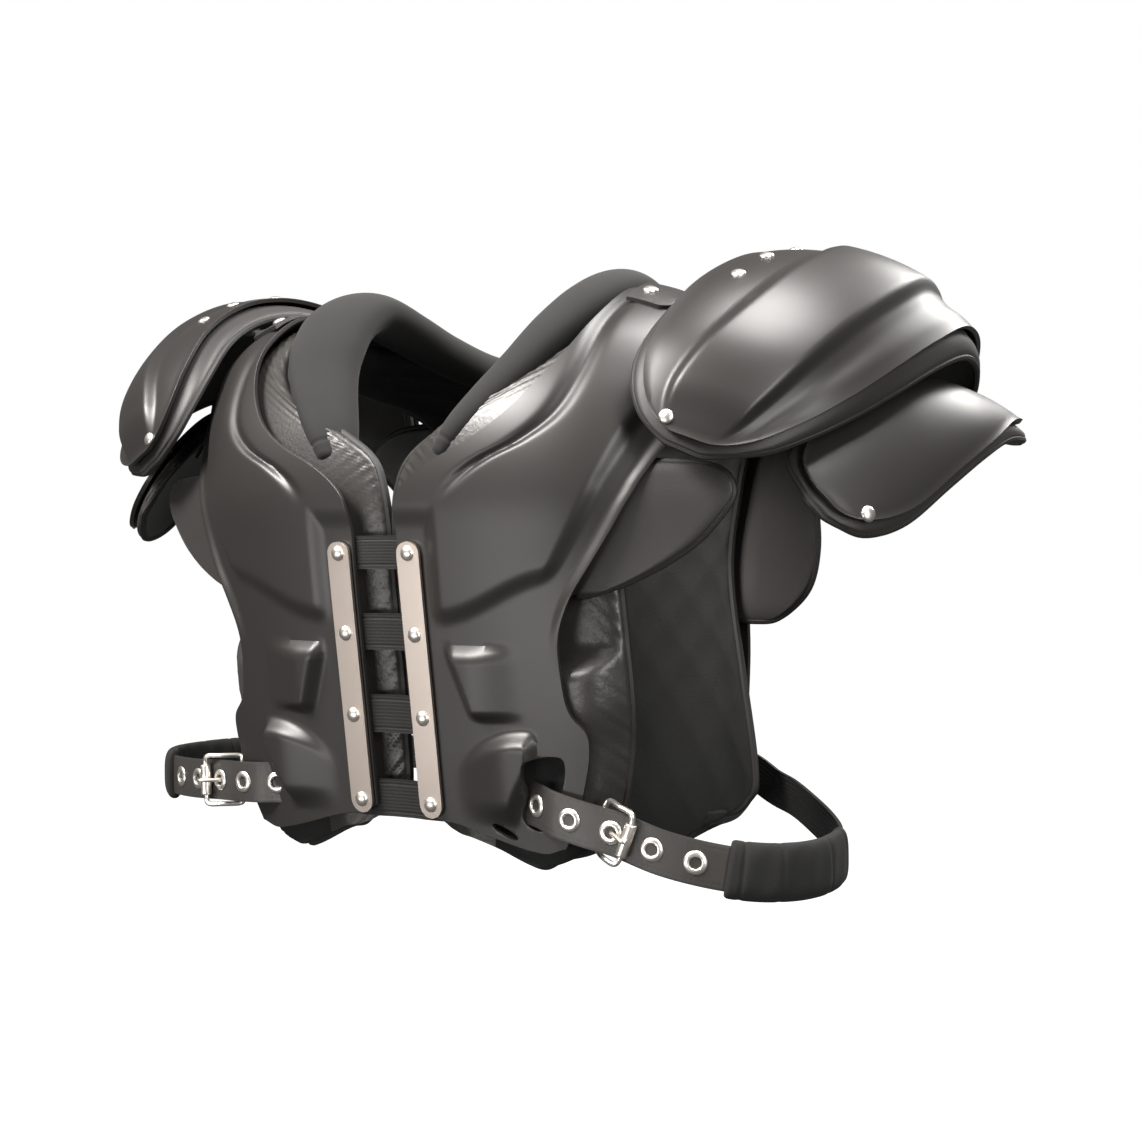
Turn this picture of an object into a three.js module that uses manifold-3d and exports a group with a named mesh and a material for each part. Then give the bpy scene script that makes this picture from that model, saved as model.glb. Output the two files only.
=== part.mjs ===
// Football shoulder pad: two moulded body arches over quilted liners, a collar roll, layered
// shoulder plates and flaps, front and back straps, and a side belt with a roller buckle on each side.
// Millimetres. The wearer faces -Y, the wearer's left is +X, and +Z is up. The origin is the
// shoulder seat: between the shoulders, level with the top of them, in the middle of the depth.
import * as THREE from 'three';
import { mergeVertices } from 'three/addons/utils/BufferGeometryUtils.js';
import Module from 'manifold-3d';

const wasm = await Module();
wasm.setup();

// Main sizes of the body arches.
const chestDepth = 146;
const backDepth = 133;
const plateDrop = 330;
const plateReach = 200;
const flankReach = 0.75 * plateReach;
const sideDrop = 24;
const plateWall = 3;
const touchGap = 0.3;

// Reliefs pressed into each arch.
const domeRise = 3;
const rimCurl = 2.5;
const neckGroove = 2.5;
const panelRise = 7;
const hoodRise = 8;
const bevelWidth = 9;

// Soft parts.
const linerThick = 20;
const linerEdge = 8;
const flapThick = 8;
const padThick = 7;
const padMargin = 9;
const collarWidth = 23;
const collarHeight = 15;

// Straps, bars and rivets.
const strapWidth = 22;
const strapThick = 1.6;
const barWidth = 16;
const barThick = 2;
const barFromMiddle = 26;
const rivetRadius = 4.6;
const rivetRise = 2.6;
const rivetPitch = 49.5;

// Side belts.
const beltWidth = 25.4;
const beltThick = 2.2;
const eyeletPitch = 25.4;
const eyeletHole = 3.4;
const eyeletBarrel = 4.6;
const eyeletRim = 6.8;
const eyeletLip = 1.1;
const beltCount = 5;
const sleeveWidth = 33;
const sleeveThick = 11;
const elasticWidth = 24;
const elasticThick = 1.8;
const buckleWire = 3.2;
const rollerRadius = 3.4;

const { clamp, lerp, smoothstep } = THREE.MathUtils;
const vec = (x, y, z) => new THREE.Vector3(x, y, z);

// A smooth curve through a table: the value of every named column at a share t of its length.
function along(rows) {
  const names = Object.keys(rows[0]);
  const last = rows.length - 1;
  return (t) => {
    const place = clamp(t, 0, 1) * last;
    const i = Math.min(Math.floor(place), last - 1);
    const f = place - i;
    const near = [-1, 0, 1, 2].map((k) => rows[clamp(i + k, 0, last)]);
    const value = {};
    for (const name of names) {
      const [a, b, c, d] = near.map((row) => row[name]);
      const pull = (2 * a - 5 * b + 4 * c - d) * f * f + (3 * b - a - 3 * c + d) * f ** 3;
      value[name] = b + 0.5 * ((c - a) * f + pull);
    }
    return value;
  };
}

// A closed grid body: a box whose corner shares (a, b, c) are sent to places on the real form.
function bend(across, along2, through, place) {
  const box = new THREE.BoxGeometry(1, 1, 1, across, along2, through);
  return moved(box, (p) => place(p.x + 0.5, p.y + 0.5, p.z + 0.5));
}

// A geometry with every vertex sent through a function, its shared vertices merged.
function moved(geometry, place) {
  const spot = geometry.attributes.position;
  for (let i = 0; i < spot.count; i += 1) {
    const p = place(vec(spot.getX(i), spot.getY(i), spot.getZ(i)));
    spot.setXYZ(i, p.x, p.y, p.z);
  }
  return closed(geometry);
}

// Only positions, shared vertices merged, faces turned out.
function closed(geometry) {
  geometry.deleteAttribute('normal');
  geometry.deleteAttribute('uv');
  const merged = mergeVertices(geometry.index ? geometry : indexed(geometry), 1e-4);
  if (volume(merged) < 0) {
    const faces = merged.index.array;
    for (let i = 0; i < faces.length; i += 3) {
      [faces[i], faces[i + 1]] = [faces[i + 1], faces[i]];
    }
  }
  return merged;
}

function indexed(geometry) {
  const count = geometry.attributes.position.count;
  geometry.setIndex([...Array(count).keys()]);
  return geometry;
}

function volume(geometry) {
  const spot = geometry.attributes.position;
  const faces = geometry.index.array;
  let sum = 0;
  const corner = (i) => vec(spot.getX(i), spot.getY(i), spot.getZ(i));
  for (let i = 0; i < faces.length; i += 3) {
    const [a, b, c] = [corner(faces[i]), corner(faces[i + 1]), corner(faces[i + 2])];
    sum += a.dot(b.cross(c)) / 6;
  }
  return sum;
}

function solid(geometry) {
  const vertProperties = new Float32Array(geometry.attributes.position.array);
  const triVerts = new Uint32Array(geometry.index.array);
  return new wasm.Manifold(new wasm.Mesh({ numProp: 3, vertProperties, triVerts }));
}

function fromSolid(manifold) {
  const mesh = manifold.getMesh();
  const geometry = new THREE.BufferGeometry();
  geometry.setAttribute('position', new THREE.BufferAttribute(new Float32Array(mesh.vertProperties), 3));
  geometry.setIndex(new THREE.BufferAttribute(new Uint32Array(mesh.triVerts), 1));
  return geometry;
}

const cut = (geometry, ...tools) =>
  fromSolid(tools.reduce((body, tool) => body.subtract(solid(tool)), solid(geometry)));
const join = (geometry, ...others) =>
  fromSolid(others.reduce((body, other) => body.add(solid(other)), solid(geometry)));

// Side profile of the torso, from the front hem over the shoulder to the back hem.
// fore: share of chestDepth in front (or of backDepth behind, below zero); down: share of
// plateDrop; round: share of sideDrop by which the surface has fallen away at the flank.
// The first and last rows lie past the plates' hems, by pastHem of the line's length.
const pastHem = 0.05;
const torsoRow = along([
  { fore: 0.74, down: 1.16, round: 0.62 },
  { fore: 0.788, down: 1.015, round: 0.62 },
  { fore: 0.836, down: 0.873, round: 0.6 },
  { fore: 0.884, down: 0.73, round: 0.58 },
  { fore: 0.932, down: 0.594, round: 0.7 },
  { fore: 0.976, down: 0.461, round: 0.88 },
  { fore: 1.0, down: 0.352, round: 0.95 },
  { fore: 0.966, down: 0.242, round: 1.0 },
  { fore: 0.87, down: 0.145, round: 0.92 },
  { fore: 0.712, down: 0.058, round: 0.76 },
  { fore: 0.479, down: -0.003, round: 0.58 },
  { fore: 0.219, down: -0.024, round: 0.48 },
  { fore: -0.06, down: -0.024, round: 0.48 },
  { fore: -0.346, down: -0.006, round: 0.54 },
  { fore: -0.602, down: 0.039, round: 0.66 },
  { fore: -0.805, down: 0.112, round: 0.8 },
  { fore: -0.932, down: 0.212, round: 0.9 },
  { fore: -0.992, down: 0.333, round: 0.9 },
  { fore: -1.0, down: 0.47, round: 0.8 },
  { fore: -0.977, down: 0.621, round: 0.74 },
  { fore: -0.947, down: 0.788, round: 0.7 },
  { fore: -0.91, down: 0.985, round: 0.66 },
  { fore: -0.87, down: 1.17, round: 0.62 },
]);

function torsoLine(s) {
  const row = torsoRow((s + pastHem) / (1 + 2 * pastHem));
  const depth = row.fore > 0 ? chestDepth : backDepth;
  return { y: -row.fore * depth, z: -row.down * plateDrop, drop: row.round * sideDrop };
}

// A point of the torso at share s of the profile, x from the middle, and lift off the surface.
// fall(x) says how the surface drops away sideways, as a share of the drop at the flank.
const roundFall = (x) => (Math.abs(x) / flankReach) ** 4;
function torso(s, x, lift, fall = roundFall) {
  const step = 0.004;
  const at = torsoLine(s);
  const a = torsoLine(s - step);
  const b = torsoLine(s + step);
  const length = Math.hypot(b.y - a.y, b.z - a.z);
  const out = vec(0, -(b.z - a.z) / length, (b.y - a.y) / length);
  const slope = ((fall(x + 1) - fall(x - 1)) / 2) * at.drop;
  const away = vec(slope, out.y, out.z).normalize();
  return vec(x, at.y, at.z).addScaledVector(out, -at.drop * fall(x)).addScaledVector(away, lift);
}

// Outline of one body arch along the torso line (at: share of the line).
// inner, outer: shares of plateReach from the middle of the body.
const archRows = [
  { at: 0.0095, inner: 0.085, outer: 0.57 },
  { at: 0.028, inner: 0.085, outer: 0.61 },
  { at: 0.05, inner: 0.085, outer: 0.64 },
  { at: 0.069, inner: 0.085, outer: 0.66 },
  { at: 0.083, inner: 0.085, outer: 0.658 },
  { at: 0.095, inner: 0.085, outer: 0.615 },
  { at: 0.11, inner: 0.085, outer: 0.598 },
  { at: 0.14, inner: 0.085, outer: 0.594 },
  { at: 0.165, inner: 0.085, outer: 0.63 },
  { at: 0.19, inner: 0.085, outer: 0.695 },
  { at: 0.215, inner: 0.085, outer: 0.75 },
  { at: 0.24, inner: 0.095, outer: 0.79 },
  { at: 0.256, inner: 0.14, outer: 0.81 },
  { at: 0.27, inner: 0.22, outer: 0.83 },
  { at: 0.286, inner: 0.345, outer: 0.85 },
  { at: 0.308, inner: 0.45, outer: 0.875 },
  { at: 0.34, inner: 0.53, outer: 0.91 },
  { at: 0.38, inner: 0.592, outer: 0.945 },
  { at: 0.43, inner: 0.622, outer: 0.97 },
  { at: 0.49, inner: 0.618, outer: 0.98 },
  { at: 0.55, inner: 0.6, outer: 0.97 },
  { at: 0.61, inner: 0.565, outer: 0.93 },
  { at: 0.66, inner: 0.5, outer: 0.87 },
  { at: 0.71, inner: 0.38, outer: 0.77 },
  { at: 0.75, inner: 0.23, outer: 0.68 },
  { at: 0.79, inner: 0.11, outer: 0.585 },
  { at: 0.85, inner: 0.085, outer: 0.51 },
  { at: 0.92, inner: 0.085, outer: 0.525 },
  { at: 0.994, inner: 0.085, outer: 0.52 },
];
const archRow = along(archRows);

// The hem: how far (as a share of the line) it rises at equal steps across the arch.
const hemRow = along([
  { rise: 0.025 },
  { rise: 0.0185 },
  { rise: 0.0168 },
  { rise: 0.0135 },
  { rise: 0.0095 },
  { rise: 0.0055 },
  { rise: 0.002 },
  { rise: 0 },
  { rise: 0.004 },
]);
const hemFade = 0.09;

function hemmed(at, b) {
  const rise = hemRow(b).rise;
  const front = Math.max(0, 1 - at / hemFade);
  const back = Math.max(0, 1 - (1 - at) / hemFade);
  return at + rise * (front - back);
}

// Height of the pressed reliefs at (s, x): a chest dome, a curled armhole rim, a groove beside
// the neck edge, a raised panel over the waist and a hood over the belt window.
const band = (value, low, high, soft) =>
  smoothstep(value, low - soft, low) * (1 - smoothstep(value, high, high + soft));

function relief(s, x, inner, outer) {
  const out = x / plateReach;
  const fromArm = outer - x;
  const front = 1 - smoothstep(s, 0.45, 0.5);
  const domeFoot = lerp(0.157, 0.183, smoothstep(out, 0.225, 0.6));
  const dome = domeRise * smoothstep(s, domeFoot - 0.006, domeFoot + 0.006)
    * smoothstep(fromArm, 14, 14 + bevelWidth) * front
    * Math.max(smoothstep(out, 0.185, 0.24), smoothstep(s, 0.215, 0.24));
  const rim = rimCurl * smoothstep(7 - fromArm, 0, 7) * smoothstep(s, 0.12, 0.18) * front;
  const grooveFrom = lerp(34, 6, smoothstep(s, 0.25, 0.42));
  const groove = neckGroove * Math.exp(-(((x - inner - grooveFrom) / 5) ** 2))
    * smoothstep(s, 0.235, 0.27) * front;
  const panelEdge = lerp(0.295, 0.215, clamp((s - 0.088) / 0.05, 0, 1));
  const panel = panelRise * smoothstep(out, panelEdge, panelEdge + bevelWidth / plateReach)
    * (1 - smoothstep(out, 0.31, 0.49)) * band(s, 0.097, 0.131, 0.009);
  const hoodTop = 0.086 - 0.38 * (out - 0.47) ** 2;
  const hoodSide = lerp(0.42, 0.495, smoothstep(s, 0.03, 0.07));
  const hood = hoodRise * smoothstep(out, 0.22, 0.43)
    * (1 - smoothstep(out, hoodSide - 0.015, hoodSide + 0.015))
    * smoothstep(s, 0.024, 0.042) * (1 - smoothstep(s, hoodTop - 0.011, hoodTop));
  return dome + rim - groove + panel + hood;
}

function archSurface(a, b, lift) {
  const row = archRow(a);
  const inner = row.inner * plateReach;
  const outer = row.outer * plateReach;
  const x = lerp(inner, outer, b);
  const s = hemmed(row.at, b);
  return torso(s, x, lift + relief(s, x, inner, outer));
}
const mirrored = (place, side) => (a, b, c) => {
  const p = place(a, b, c);
  return vec(side * p.x, p.y, p.z);
};

// A cutter through the front of an arch: a flat outline run along Y. Its corners are shares of
// plateReach out and of plateDrop down.
function frontCutter(side, corners) {
  const shape = new THREE.Shape(corners.map(([x, z]) => new THREE.Vector2(x * plateReach, -z * plateDrop)));
  const block = new THREE.ExtrudeGeometry(shape, { depth: 60, bevelEnabled: false });
  return moved(block, (p) => vec(side * p.x, -chestDepth - 20 + p.z, p.y));
}

// The arch shell, with the belt window and the small slot under the hood cut through.
const beltWindow = [[0.48, 0.821], [0.585, 0.812], [0.5925, 0.839], [0.575, 0.879], [0.52, 0.958],
  [0.4325, 0.936], [0.455, 0.894], [0.4725, 0.852]];
const smallSlot = [[0.3425, 0.936], [0.425, 0.959], [0.415, 0.973], [0.3325, 0.95]];
const archShell = (side, low, high, wider) =>
  bend(archRows.length - 1, 10, 1,
    mirrored((a, b, c) => archSurface(a, lerp(-wider, 1 + wider, b), lerp(low, high, c)), side));
const arch = (side) =>
  cut(archShell(side, 0, plateWall, 0), frontCutter(side, beltWindow), frontCutter(side, smallSlot),
    beltSpace(side), buckleStrap(side, touchGap), eyeletSpace(side));

// Collar roll: an oval roll round the neck hole, open at the throat.
// at: share of the torso line; out: share of plateReach from the middle; sink: share of
// linerThick below the torso surface; size: share of collarWidth and collarHeight.
const collarRows = [
  { at: 0.276, out: 0.2, sink: 0.6, size: 0.5 },
  { at: 0.3, out: 0.24, sink: 0.75, size: 0.72 },
  { at: 0.335, out: 0.31, sink: 0.9, size: 0.86 },
  { at: 0.377, out: 0.39, sink: 0.9, size: 0.95 },
  { at: 0.418, out: 0.44, sink: 0.7, size: 1 },
  { at: 0.455, out: 0.475, sink: 0.4, size: 1 },
  { at: 0.503, out: 0.495, sink: 0.05, size: 0.97 },
  { at: 0.55, out: 0.475, sink: 0.5, size: 0.93 },
  { at: 0.59, out: 0.42, sink: 1, size: 0.9 },
  { at: 0.632, out: 0.33, sink: 1.2, size: 0.86 },
  { at: 0.668, out: 0.2, sink: 1.05, size: 0.84 },
  { at: 0.69, out: 0.08, sink: 0.85, size: 0.84 },
];
const collarRow = along([...collarRows, ...collarRows.slice().reverse().map((row) => ({ ...row, out: -row.out }))]);

function collarCentre(t) {
  const row = collarRow(t);
  return torso(row.at, row.out * plateReach, -row.sink * linerThick);
}

// The roll covers this share of its line, so its ends keep clear of the liner's dents.
const collarReach = 0.997;
function collarRoll(extra) {
  const tube = new THREE.CylinderGeometry(1, 1, 1, 8, 28);
  return moved(tube, (p) => {
    const t = 0.5 + p.y * (collarReach + 0.01 * extra);
    const row = collarRow(t);
    const centre = collarCentre(t);
    const ahead = collarCentre(t + 0.01).sub(collarCentre(t - 0.01)).normalize();
    const inward = vec(-centre.x, -centre.y, 0).projectOnPlane(ahead).normalize();
    const upward = ahead.clone().cross(inward).normalize();
    const end = 1 - 0.45 * smoothstep(Math.abs(p.y), 0.485, 0.5);
    return centre
      .addScaledVector(inward, p.x * (collarWidth * row.size * end + extra))
      .addScaledVector(upward, p.z * (collarHeight * row.size * end + extra));
  });
}

// Liner of one side: a padded layer under the arch, from the front hem over the shoulder.
const linerRows = [
  { at: -0.004, inner: 0.1, outer: 0.56 },
  { at: 0.008, inner: 0.04, outer: 0.65 },
  { at: 0.03, inner: 0.025, outer: 0.715 },
  { at: 0.065, inner: 0.02, outer: 0.755 },
  { at: 0.1, inner: 0.02, outer: 0.77 },
  { at: 0.14, inner: 0.02, outer: 0.765 },
  { at: 0.18, inner: 0.02, outer: 0.76 },
  { at: 0.22, inner: 0.022, outer: 0.765 },
  { at: 0.255, inner: 0.04, outer: 0.78 },
  { at: 0.28, inner: 0.08, outer: 0.8 },
  { at: 0.305, inner: 0.2, outer: 0.825 },
  { at: 0.34, inner: 0.4, outer: 0.855 },
  { at: 0.38, inner: 0.53, outer: 0.89 },
  { at: 0.43, inner: 0.59, outer: 0.925 },
  { at: 0.49, inner: 0.625, outer: 0.94 },
  { at: 0.55, inner: 0.61, outer: 0.92 },
  { at: 0.6, inner: 0.525, outer: 0.87 },
  { at: 0.64, inner: 0.46, outer: 0.82 },
  { at: 0.68, inner: 0.33, outer: 0.74 },
  { at: 0.725, inner: 0.12, outer: 0.68 },
  { at: 0.75, inner: 0.03, outer: 0.64 },
  { at: 0.8, inner: 0.02, outer: 0.565 },
  { at: 0.86, inner: 0.02, outer: 0.515 },
  { at: 0.93, inner: 0.02, outer: 0.585 },
  { at: 0.99, inner: 0.04, outer: 0.655 },
  { at: 1.008, inner: 0.1, outer: 0.58 },
];
const linerRow = along(linerRows);

// The liner's top lies under the shell, deeper where the flaps tuck in and along the flank.
const linerGap = 2.4;
const flapSink = 4;
const backDrop = 0.03;
function linerSurface(a, b, c) {
  const row = linerRow(a);
  const x = lerp(row.inner, row.outer, b) * plateReach;
  const drop = backDrop * smoothstep(row.at, 0.9, 1) * (1 - smoothstep(b, 0.25, 0.95));
  const s = hemmed(row.at, b) + drop;
  const out = x / plateReach;
  const middle = 1 - smoothstep(out, 0, 0.31);
  const flank = smoothstep(b, 0.78, 1);
  const chestTuck = smoothstep(out, 0.44, 0.54) * band(s, 0.135, 0.285, 0.02);
  const backTuck = 0.84 * smoothstep(out, 0.36, 0.46) * band(s, 0.71, 0.935, 0.02);
  const pocket = (flapSink + flapThick + 2) * (chestTuck + backTuck);
  const beltRoom = 3.6 * (1 - smoothstep(s, 0.07, 0.1)) * smoothstep(out, 0.225, 0.35);
  const top = linerGap + beltRoom + 10 * middle ** 1.5 + Math.max(12 * flank ** 2, pocket);
  const low = linerThick + 2 - (linerThick - linerEdge - 10) * middle ** 2;
  const deep = Math.max(low + 3 * flank, top + linerEdge);
  return torso(s, x, -lerp(deep, top, c));
}

// Front and back closing straps across the middle, and the metal bars that hold their ends.
const frontRows = [0.036, 0.0905, 0.145, 0.199];
const backRows = [0.82, 0.88, 0.94];
const backSinks = [1.4, 0.75, 0.45];
const lineLength = 905;
const strapInset = 9;

function closingStrap(at, sink) {
  const reach = barFromMiddle + strapInset - 2;
  return bend(6, 1, 1, (a, b, c) => {
    const x = lerp(-reach, reach, a);
    const s = at + ((b - 0.5) * strapWidth) / lineLength;
    const dip = sink + 1.2 * (1 - smoothstep(Math.abs(x), 6, 20));
    return torso(s, x, -dip - strapThick * (1 - c));
  });
}

// A flat shape laid on the front or back: x across, y along the line, z off the surface.
function drape(geometry, side, x0, s0) {
  return moved(geometry, (p) => {
    const q = torso(s0 + p.y / lineLength, x0 + p.x, plateWall + 0.8 + p.z);
    return vec(side * q.x, q.y, q.z);
  });
}

const rivetHead = [[0, 1], [0.6, 0.8], [1, 0], [0, 0]];
function rivetDome(radius, rise) {
  const profile = rivetHead.map(([r, h]) => new THREE.Vector2(radius * r, rise * h));
  const dome = new THREE.LatheGeometry(profile, 8);
  dome.rotateX(Math.PI / 2);
  return dome;
}

// A flat bar with round ends, then its rivet heads. The end steps round the corners off.
const barSteps = [[1, 0.35], [0.8, 0.62], [0.4, 0.92], [0, 1]];
function closingBar(side, rows) {
  const middle = (rows[0] + rows[rows.length - 1]) / 2;
  const run = ((rows[rows.length - 1] - rows[0]) * lineLength) / 2;
  const half = barWidth / 2;
  const end = barSteps.map(([out, wide]) => ({ y: run + half * out, wide }));
  const between = [0.6, 0.2, -0.2, -0.6].map((k) => ({ y: run * k, wide: 1 }));
  const stations = [...end, ...between, ...end.slice().reverse().map(({ y, wide }) => ({ y: -y, wide }))];
  const bar = bend(stations.length - 1, 1, 1, (a, b, c) => {
    const { y, wide } = stations[Math.round(a * (stations.length - 1))];
    return vec((b - 0.5) * barWidth * wide, y, c * barThick);
  });
  const heads = rows.map((at) => {
    const head = rivetDome(rivetRadius, rivetRise);
    head.translate(0, (at - middle) * lineLength, barThick - 0.3);
    return head;
  });
  return drape(join(bar, ...heads.map(closed)), side, barFromMiddle, middle);
}

// A curved plate lofted through rows from its front end to its back end. Each row has an inner
// and an outer edge point and the rise of the crown between them. The point at (u, v) may be
// lifted off the surface; v runs from the inner edge to the outer one.
function lofted(rows) {
  const row = along(rows);
  const edge = (r, key) => vec(r[key + 'X'] * plateReach, -r[key + 'Y'] * chestDepth, -r[key + 'Z'] * plateDrop);
  const chord = (u) => {
    const r = row(u);
    return { inner: edge(r, 'in'), outer: edge(r, 'out'), crown: r.crown * sideDrop };
  };
  const middle = (u) => chord(u).inner.lerp(chord(u).outer, 0.5);
  const skin = (u, v) => {
    const { inner, outer, crown } = chord(u);
    const back = Math.min(u + 0.02, 1);
    const ahead = middle(back).sub(middle(back - 0.02));
    const out = outer.clone().sub(inner).cross(ahead).normalize();
    const arc = Math.max(0, 4 * v * (1 - v)) ** 0.7;
    return inner.lerp(outer, v).addScaledVector(out, crown * arc);
  };
  return (u, v, lift) => {
    const uv = (du, dv) => skin(clamp(u + du, 0, 1), clamp(v + dv, 0.001, 0.999));
    const away = uv(0, 0.04).sub(uv(0, -0.04)).cross(uv(0.03, 0).sub(uv(-0.03, 0))).normalize();
    return skin(u, v).addScaledVector(away, lift);
  };
}

// Shoulder plate (epaulet). In each row X is a share of plateReach, Y of chestDepth in front of
// the shoulder seat, Z of plateDrop below it, and crown a share of sideDrop.
const epauletSkin = lofted([
  { inX: 0.93, inY: 0.921, inZ: 0.276, outX: 1.06, outY: 0.863, outZ: 0.312, crown: 0.04 },
  { inX: 0.86, inY: 0.918, inZ: 0.233, outX: 1.19, outY: 0.753, outZ: 0.306, crown: 0.25 },
  { inX: 0.82, inY: 0.87, inZ: 0.173, outX: 1.28, outY: 0.616, outZ: 0.279, crown: 0.6 },
  { inX: 0.8125, inY: 0.781, inZ: 0.112, outX: 1.36, outY: 0.438, outZ: 0.239, crown: 0.95 },
  { inX: 0.835, inY: 0.63, inZ: 0.045, outX: 1.42, outY: 0.219, outZ: 0.191, crown: 1.08 },
  { inX: 0.86, inY: 0.452, inZ: 0, outX: 1.455, outY: -0.027, outZ: 0.145, crown: 1.12 },
  { inX: 0.88, inY: 0.24, inZ: -0.03, outX: 1.47, outY: -0.26, outZ: 0.115, crown: 1.13 },
  { inX: 0.885, inY: 0, inZ: -0.042, outX: 1.455, outY: -0.452, outZ: 0.115, crown: 1.08 },
  { inX: 0.875, inY: -0.247, inZ: -0.03, outX: 1.415, outY: -0.63, outZ: 0.133, crown: 0.98 },
  { inX: 0.86, inY: -0.479, inZ: 0.012, outX: 1.35, outY: -0.795, outZ: 0.17, crown: 0.8 },
  { inX: 0.86, inY: -0.699, inZ: 0.079, outX: 1.25, outY: -0.932, outZ: 0.218, crown: 0.65 },
  { inX: 0.9, inY: -0.87, inZ: 0.185, outX: 1.13, outY: -1.0, outZ: 0.288, crown: 0.28 },
  { inX: 0.97, inY: -0.95, inZ: 0.275, outX: 1.05, outY: -0.995, outZ: 0.315, crown: 0.04 },
]);

// Upper-arm cap under the outer edge of the epaulet, lower in front than behind.
const capSkin = lofted([
  { inX: 1.26, inY: 0.589, inZ: 0.37, outX: 1.31, outY: 0.548, outZ: 0.412, crown: 0.04 },
  { inX: 1.18, inY: 0.548, inZ: 0.305, outX: 1.375, outY: 0.425, outZ: 0.439, crown: 0.33 },
  { inX: 1.19, inY: 0.342, inZ: 0.235, outX: 1.435, outY: 0.205, outZ: 0.418, crown: 0.58 },
  { inX: 1.22, inY: 0.082, inZ: 0.175, outX: 1.485, outY: -0.068, outZ: 0.352, crown: 0.67 },
  { inX: 1.26, inY: -0.192, inZ: 0.16, outX: 1.515, outY: -0.342, outZ: 0.294, crown: 0.62 },
  { inX: 1.25, inY: -0.466, inZ: 0.178, outX: 1.52, outY: -0.603, outZ: 0.255, crown: 0.5 },
  { inX: 1.24, inY: -0.719, inZ: 0.2, outX: 1.51, outY: -0.822, outZ: 0.25, crown: 0.33 },
  { inX: 1.26, inY: -0.87, inZ: 0.235, outX: 1.46, outY: -0.973, outZ: 0.25, crown: 0.08 },
]);

// The moulded plate on top and the bound pad beneath it, which shows all round as a margin.
// Both share the same steps: the pad has one more at each side than the plate.
const raisedPanel = (u, v) => 5 * band(v, 0.34, 0.6, 0.09) * band(u, 0.14, 0.86, 0.08);
const flat = () => 0;
const plateSeat = 1.9;
const epauletMargin = { steps: 10, across: 6, end: 0.045, side: 0.075 };
const capMargin = { steps: 8, across: 5, end: 0.06, side: 0.09 };
function marginStep(k, count, margin) {
  return clamp(lerp(margin, 1 - margin, (k * (count + 2) - 1) / count), 0, 1);
}
function topPlate(skin, side, grid, panel) {
  const place = (a, b, c) => {
    const u = lerp(grid.end, 1 - grid.end, a);
    const v = lerp(grid.side, 1 - grid.side, b);
    return skin(u, v, plateSeat + plateWall * c + panel(u, v));
  };
  return bend(grid.steps, grid.across, 1, mirrored(place, side));
}
function underPad(skin, side, grid, panel) {
  const place = (a, b, c) => {
    const u = marginStep(a, grid.steps, grid.end);
    const v = marginStep(b, grid.across, grid.side);
    return skin(u, v, -padThick * (1 - c) + panel(u, v) * c);
  };
  return bend(grid.steps + 2, grid.across + 2, 1, mirrored(place, side));
}

// Chest and back flaps: padded flaps that hang under the arch's armhole edge. They follow the
// arch up to flapTurn from the middle and run straighter beyond it.
const flapTurn = 0.625 * plateReach;
const flapFall = (x) => {
  const past = Math.max(0, Math.abs(x) - flapTurn);
  return roundFall(Math.min(Math.abs(x), flapTurn)) + (past * 3.16) / plateReach;
};
const chestFlapRow = along([
  { at: 0.168, inner: 0.62, outer: 0.69 },
  { at: 0.176, inner: 0.595, outer: 0.8 },
  { at: 0.189, inner: 0.58, outer: 0.91 },
  { at: 0.206, inner: 0.575, outer: 1.0 },
  { at: 0.227, inner: 0.575, outer: 1.06 },
  { at: 0.25, inner: 0.58, outer: 1.085 },
  { at: 0.275, inner: 0.6, outer: 1.09 },
]);
const backFlapRow = along([
  { at: 0.72, inner: 0.68, outer: 0.86 },
  { at: 0.74, inner: 0.64, outer: 0.94 },
  { at: 0.765, inner: 0.58, outer: 0.95 },
  { at: 0.79, inner: 0.53, outer: 0.88 },
  { at: 0.815, inner: 0.49, outer: 0.85 },
  { at: 0.845, inner: 0.46, outer: 0.85 },
  { at: 0.875, inner: 0.46, outer: 0.82 },
  { at: 0.895, inner: 0.47, outer: 0.72 },
]);
function flapBody(row, side) {
  const place = (a, b, c) => {
    const r = row(a);
    const x = lerp(r.inner, r.outer, b) * plateReach;
    return torso(r.at, x, lerp(-flapSink - flapThick, -flapSink, c), flapFall);
  };
  return bend(7, 5, 1, mirrored(place, side));
}
const flap = (row, side) => cut(flapBody(row, side), archShell(side, -touchGap, plateWall + touchGap, 0.004));

// Shoulder tab: a strap riveted on the arch that rises to the underside of the epaulet pad.
const tabWidth = 34;
const tabThick = 2.5;
function shoulderTab(side) {
  const place = (a, b, c) => {
    const onArch = torso(0.452 + ((b - 0.5) * tabWidth) / lineLength, plateReach * lerp(0.66, 0.825, a * 1.6),
      plateWall + domeRise + touchGap + tabThick * c);
    const under = epauletSkin(0.45 - (b - 0.5) * 0.1, lerp(-0.1, 0.12, a), -padThick - touchGap - tabThick * (1 - c));
    return onArch.lerp(under, smoothstep(a, 0.35, 0.75));
  };
  return bend(8, 1, 1, mirrored(place, side));
}

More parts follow.
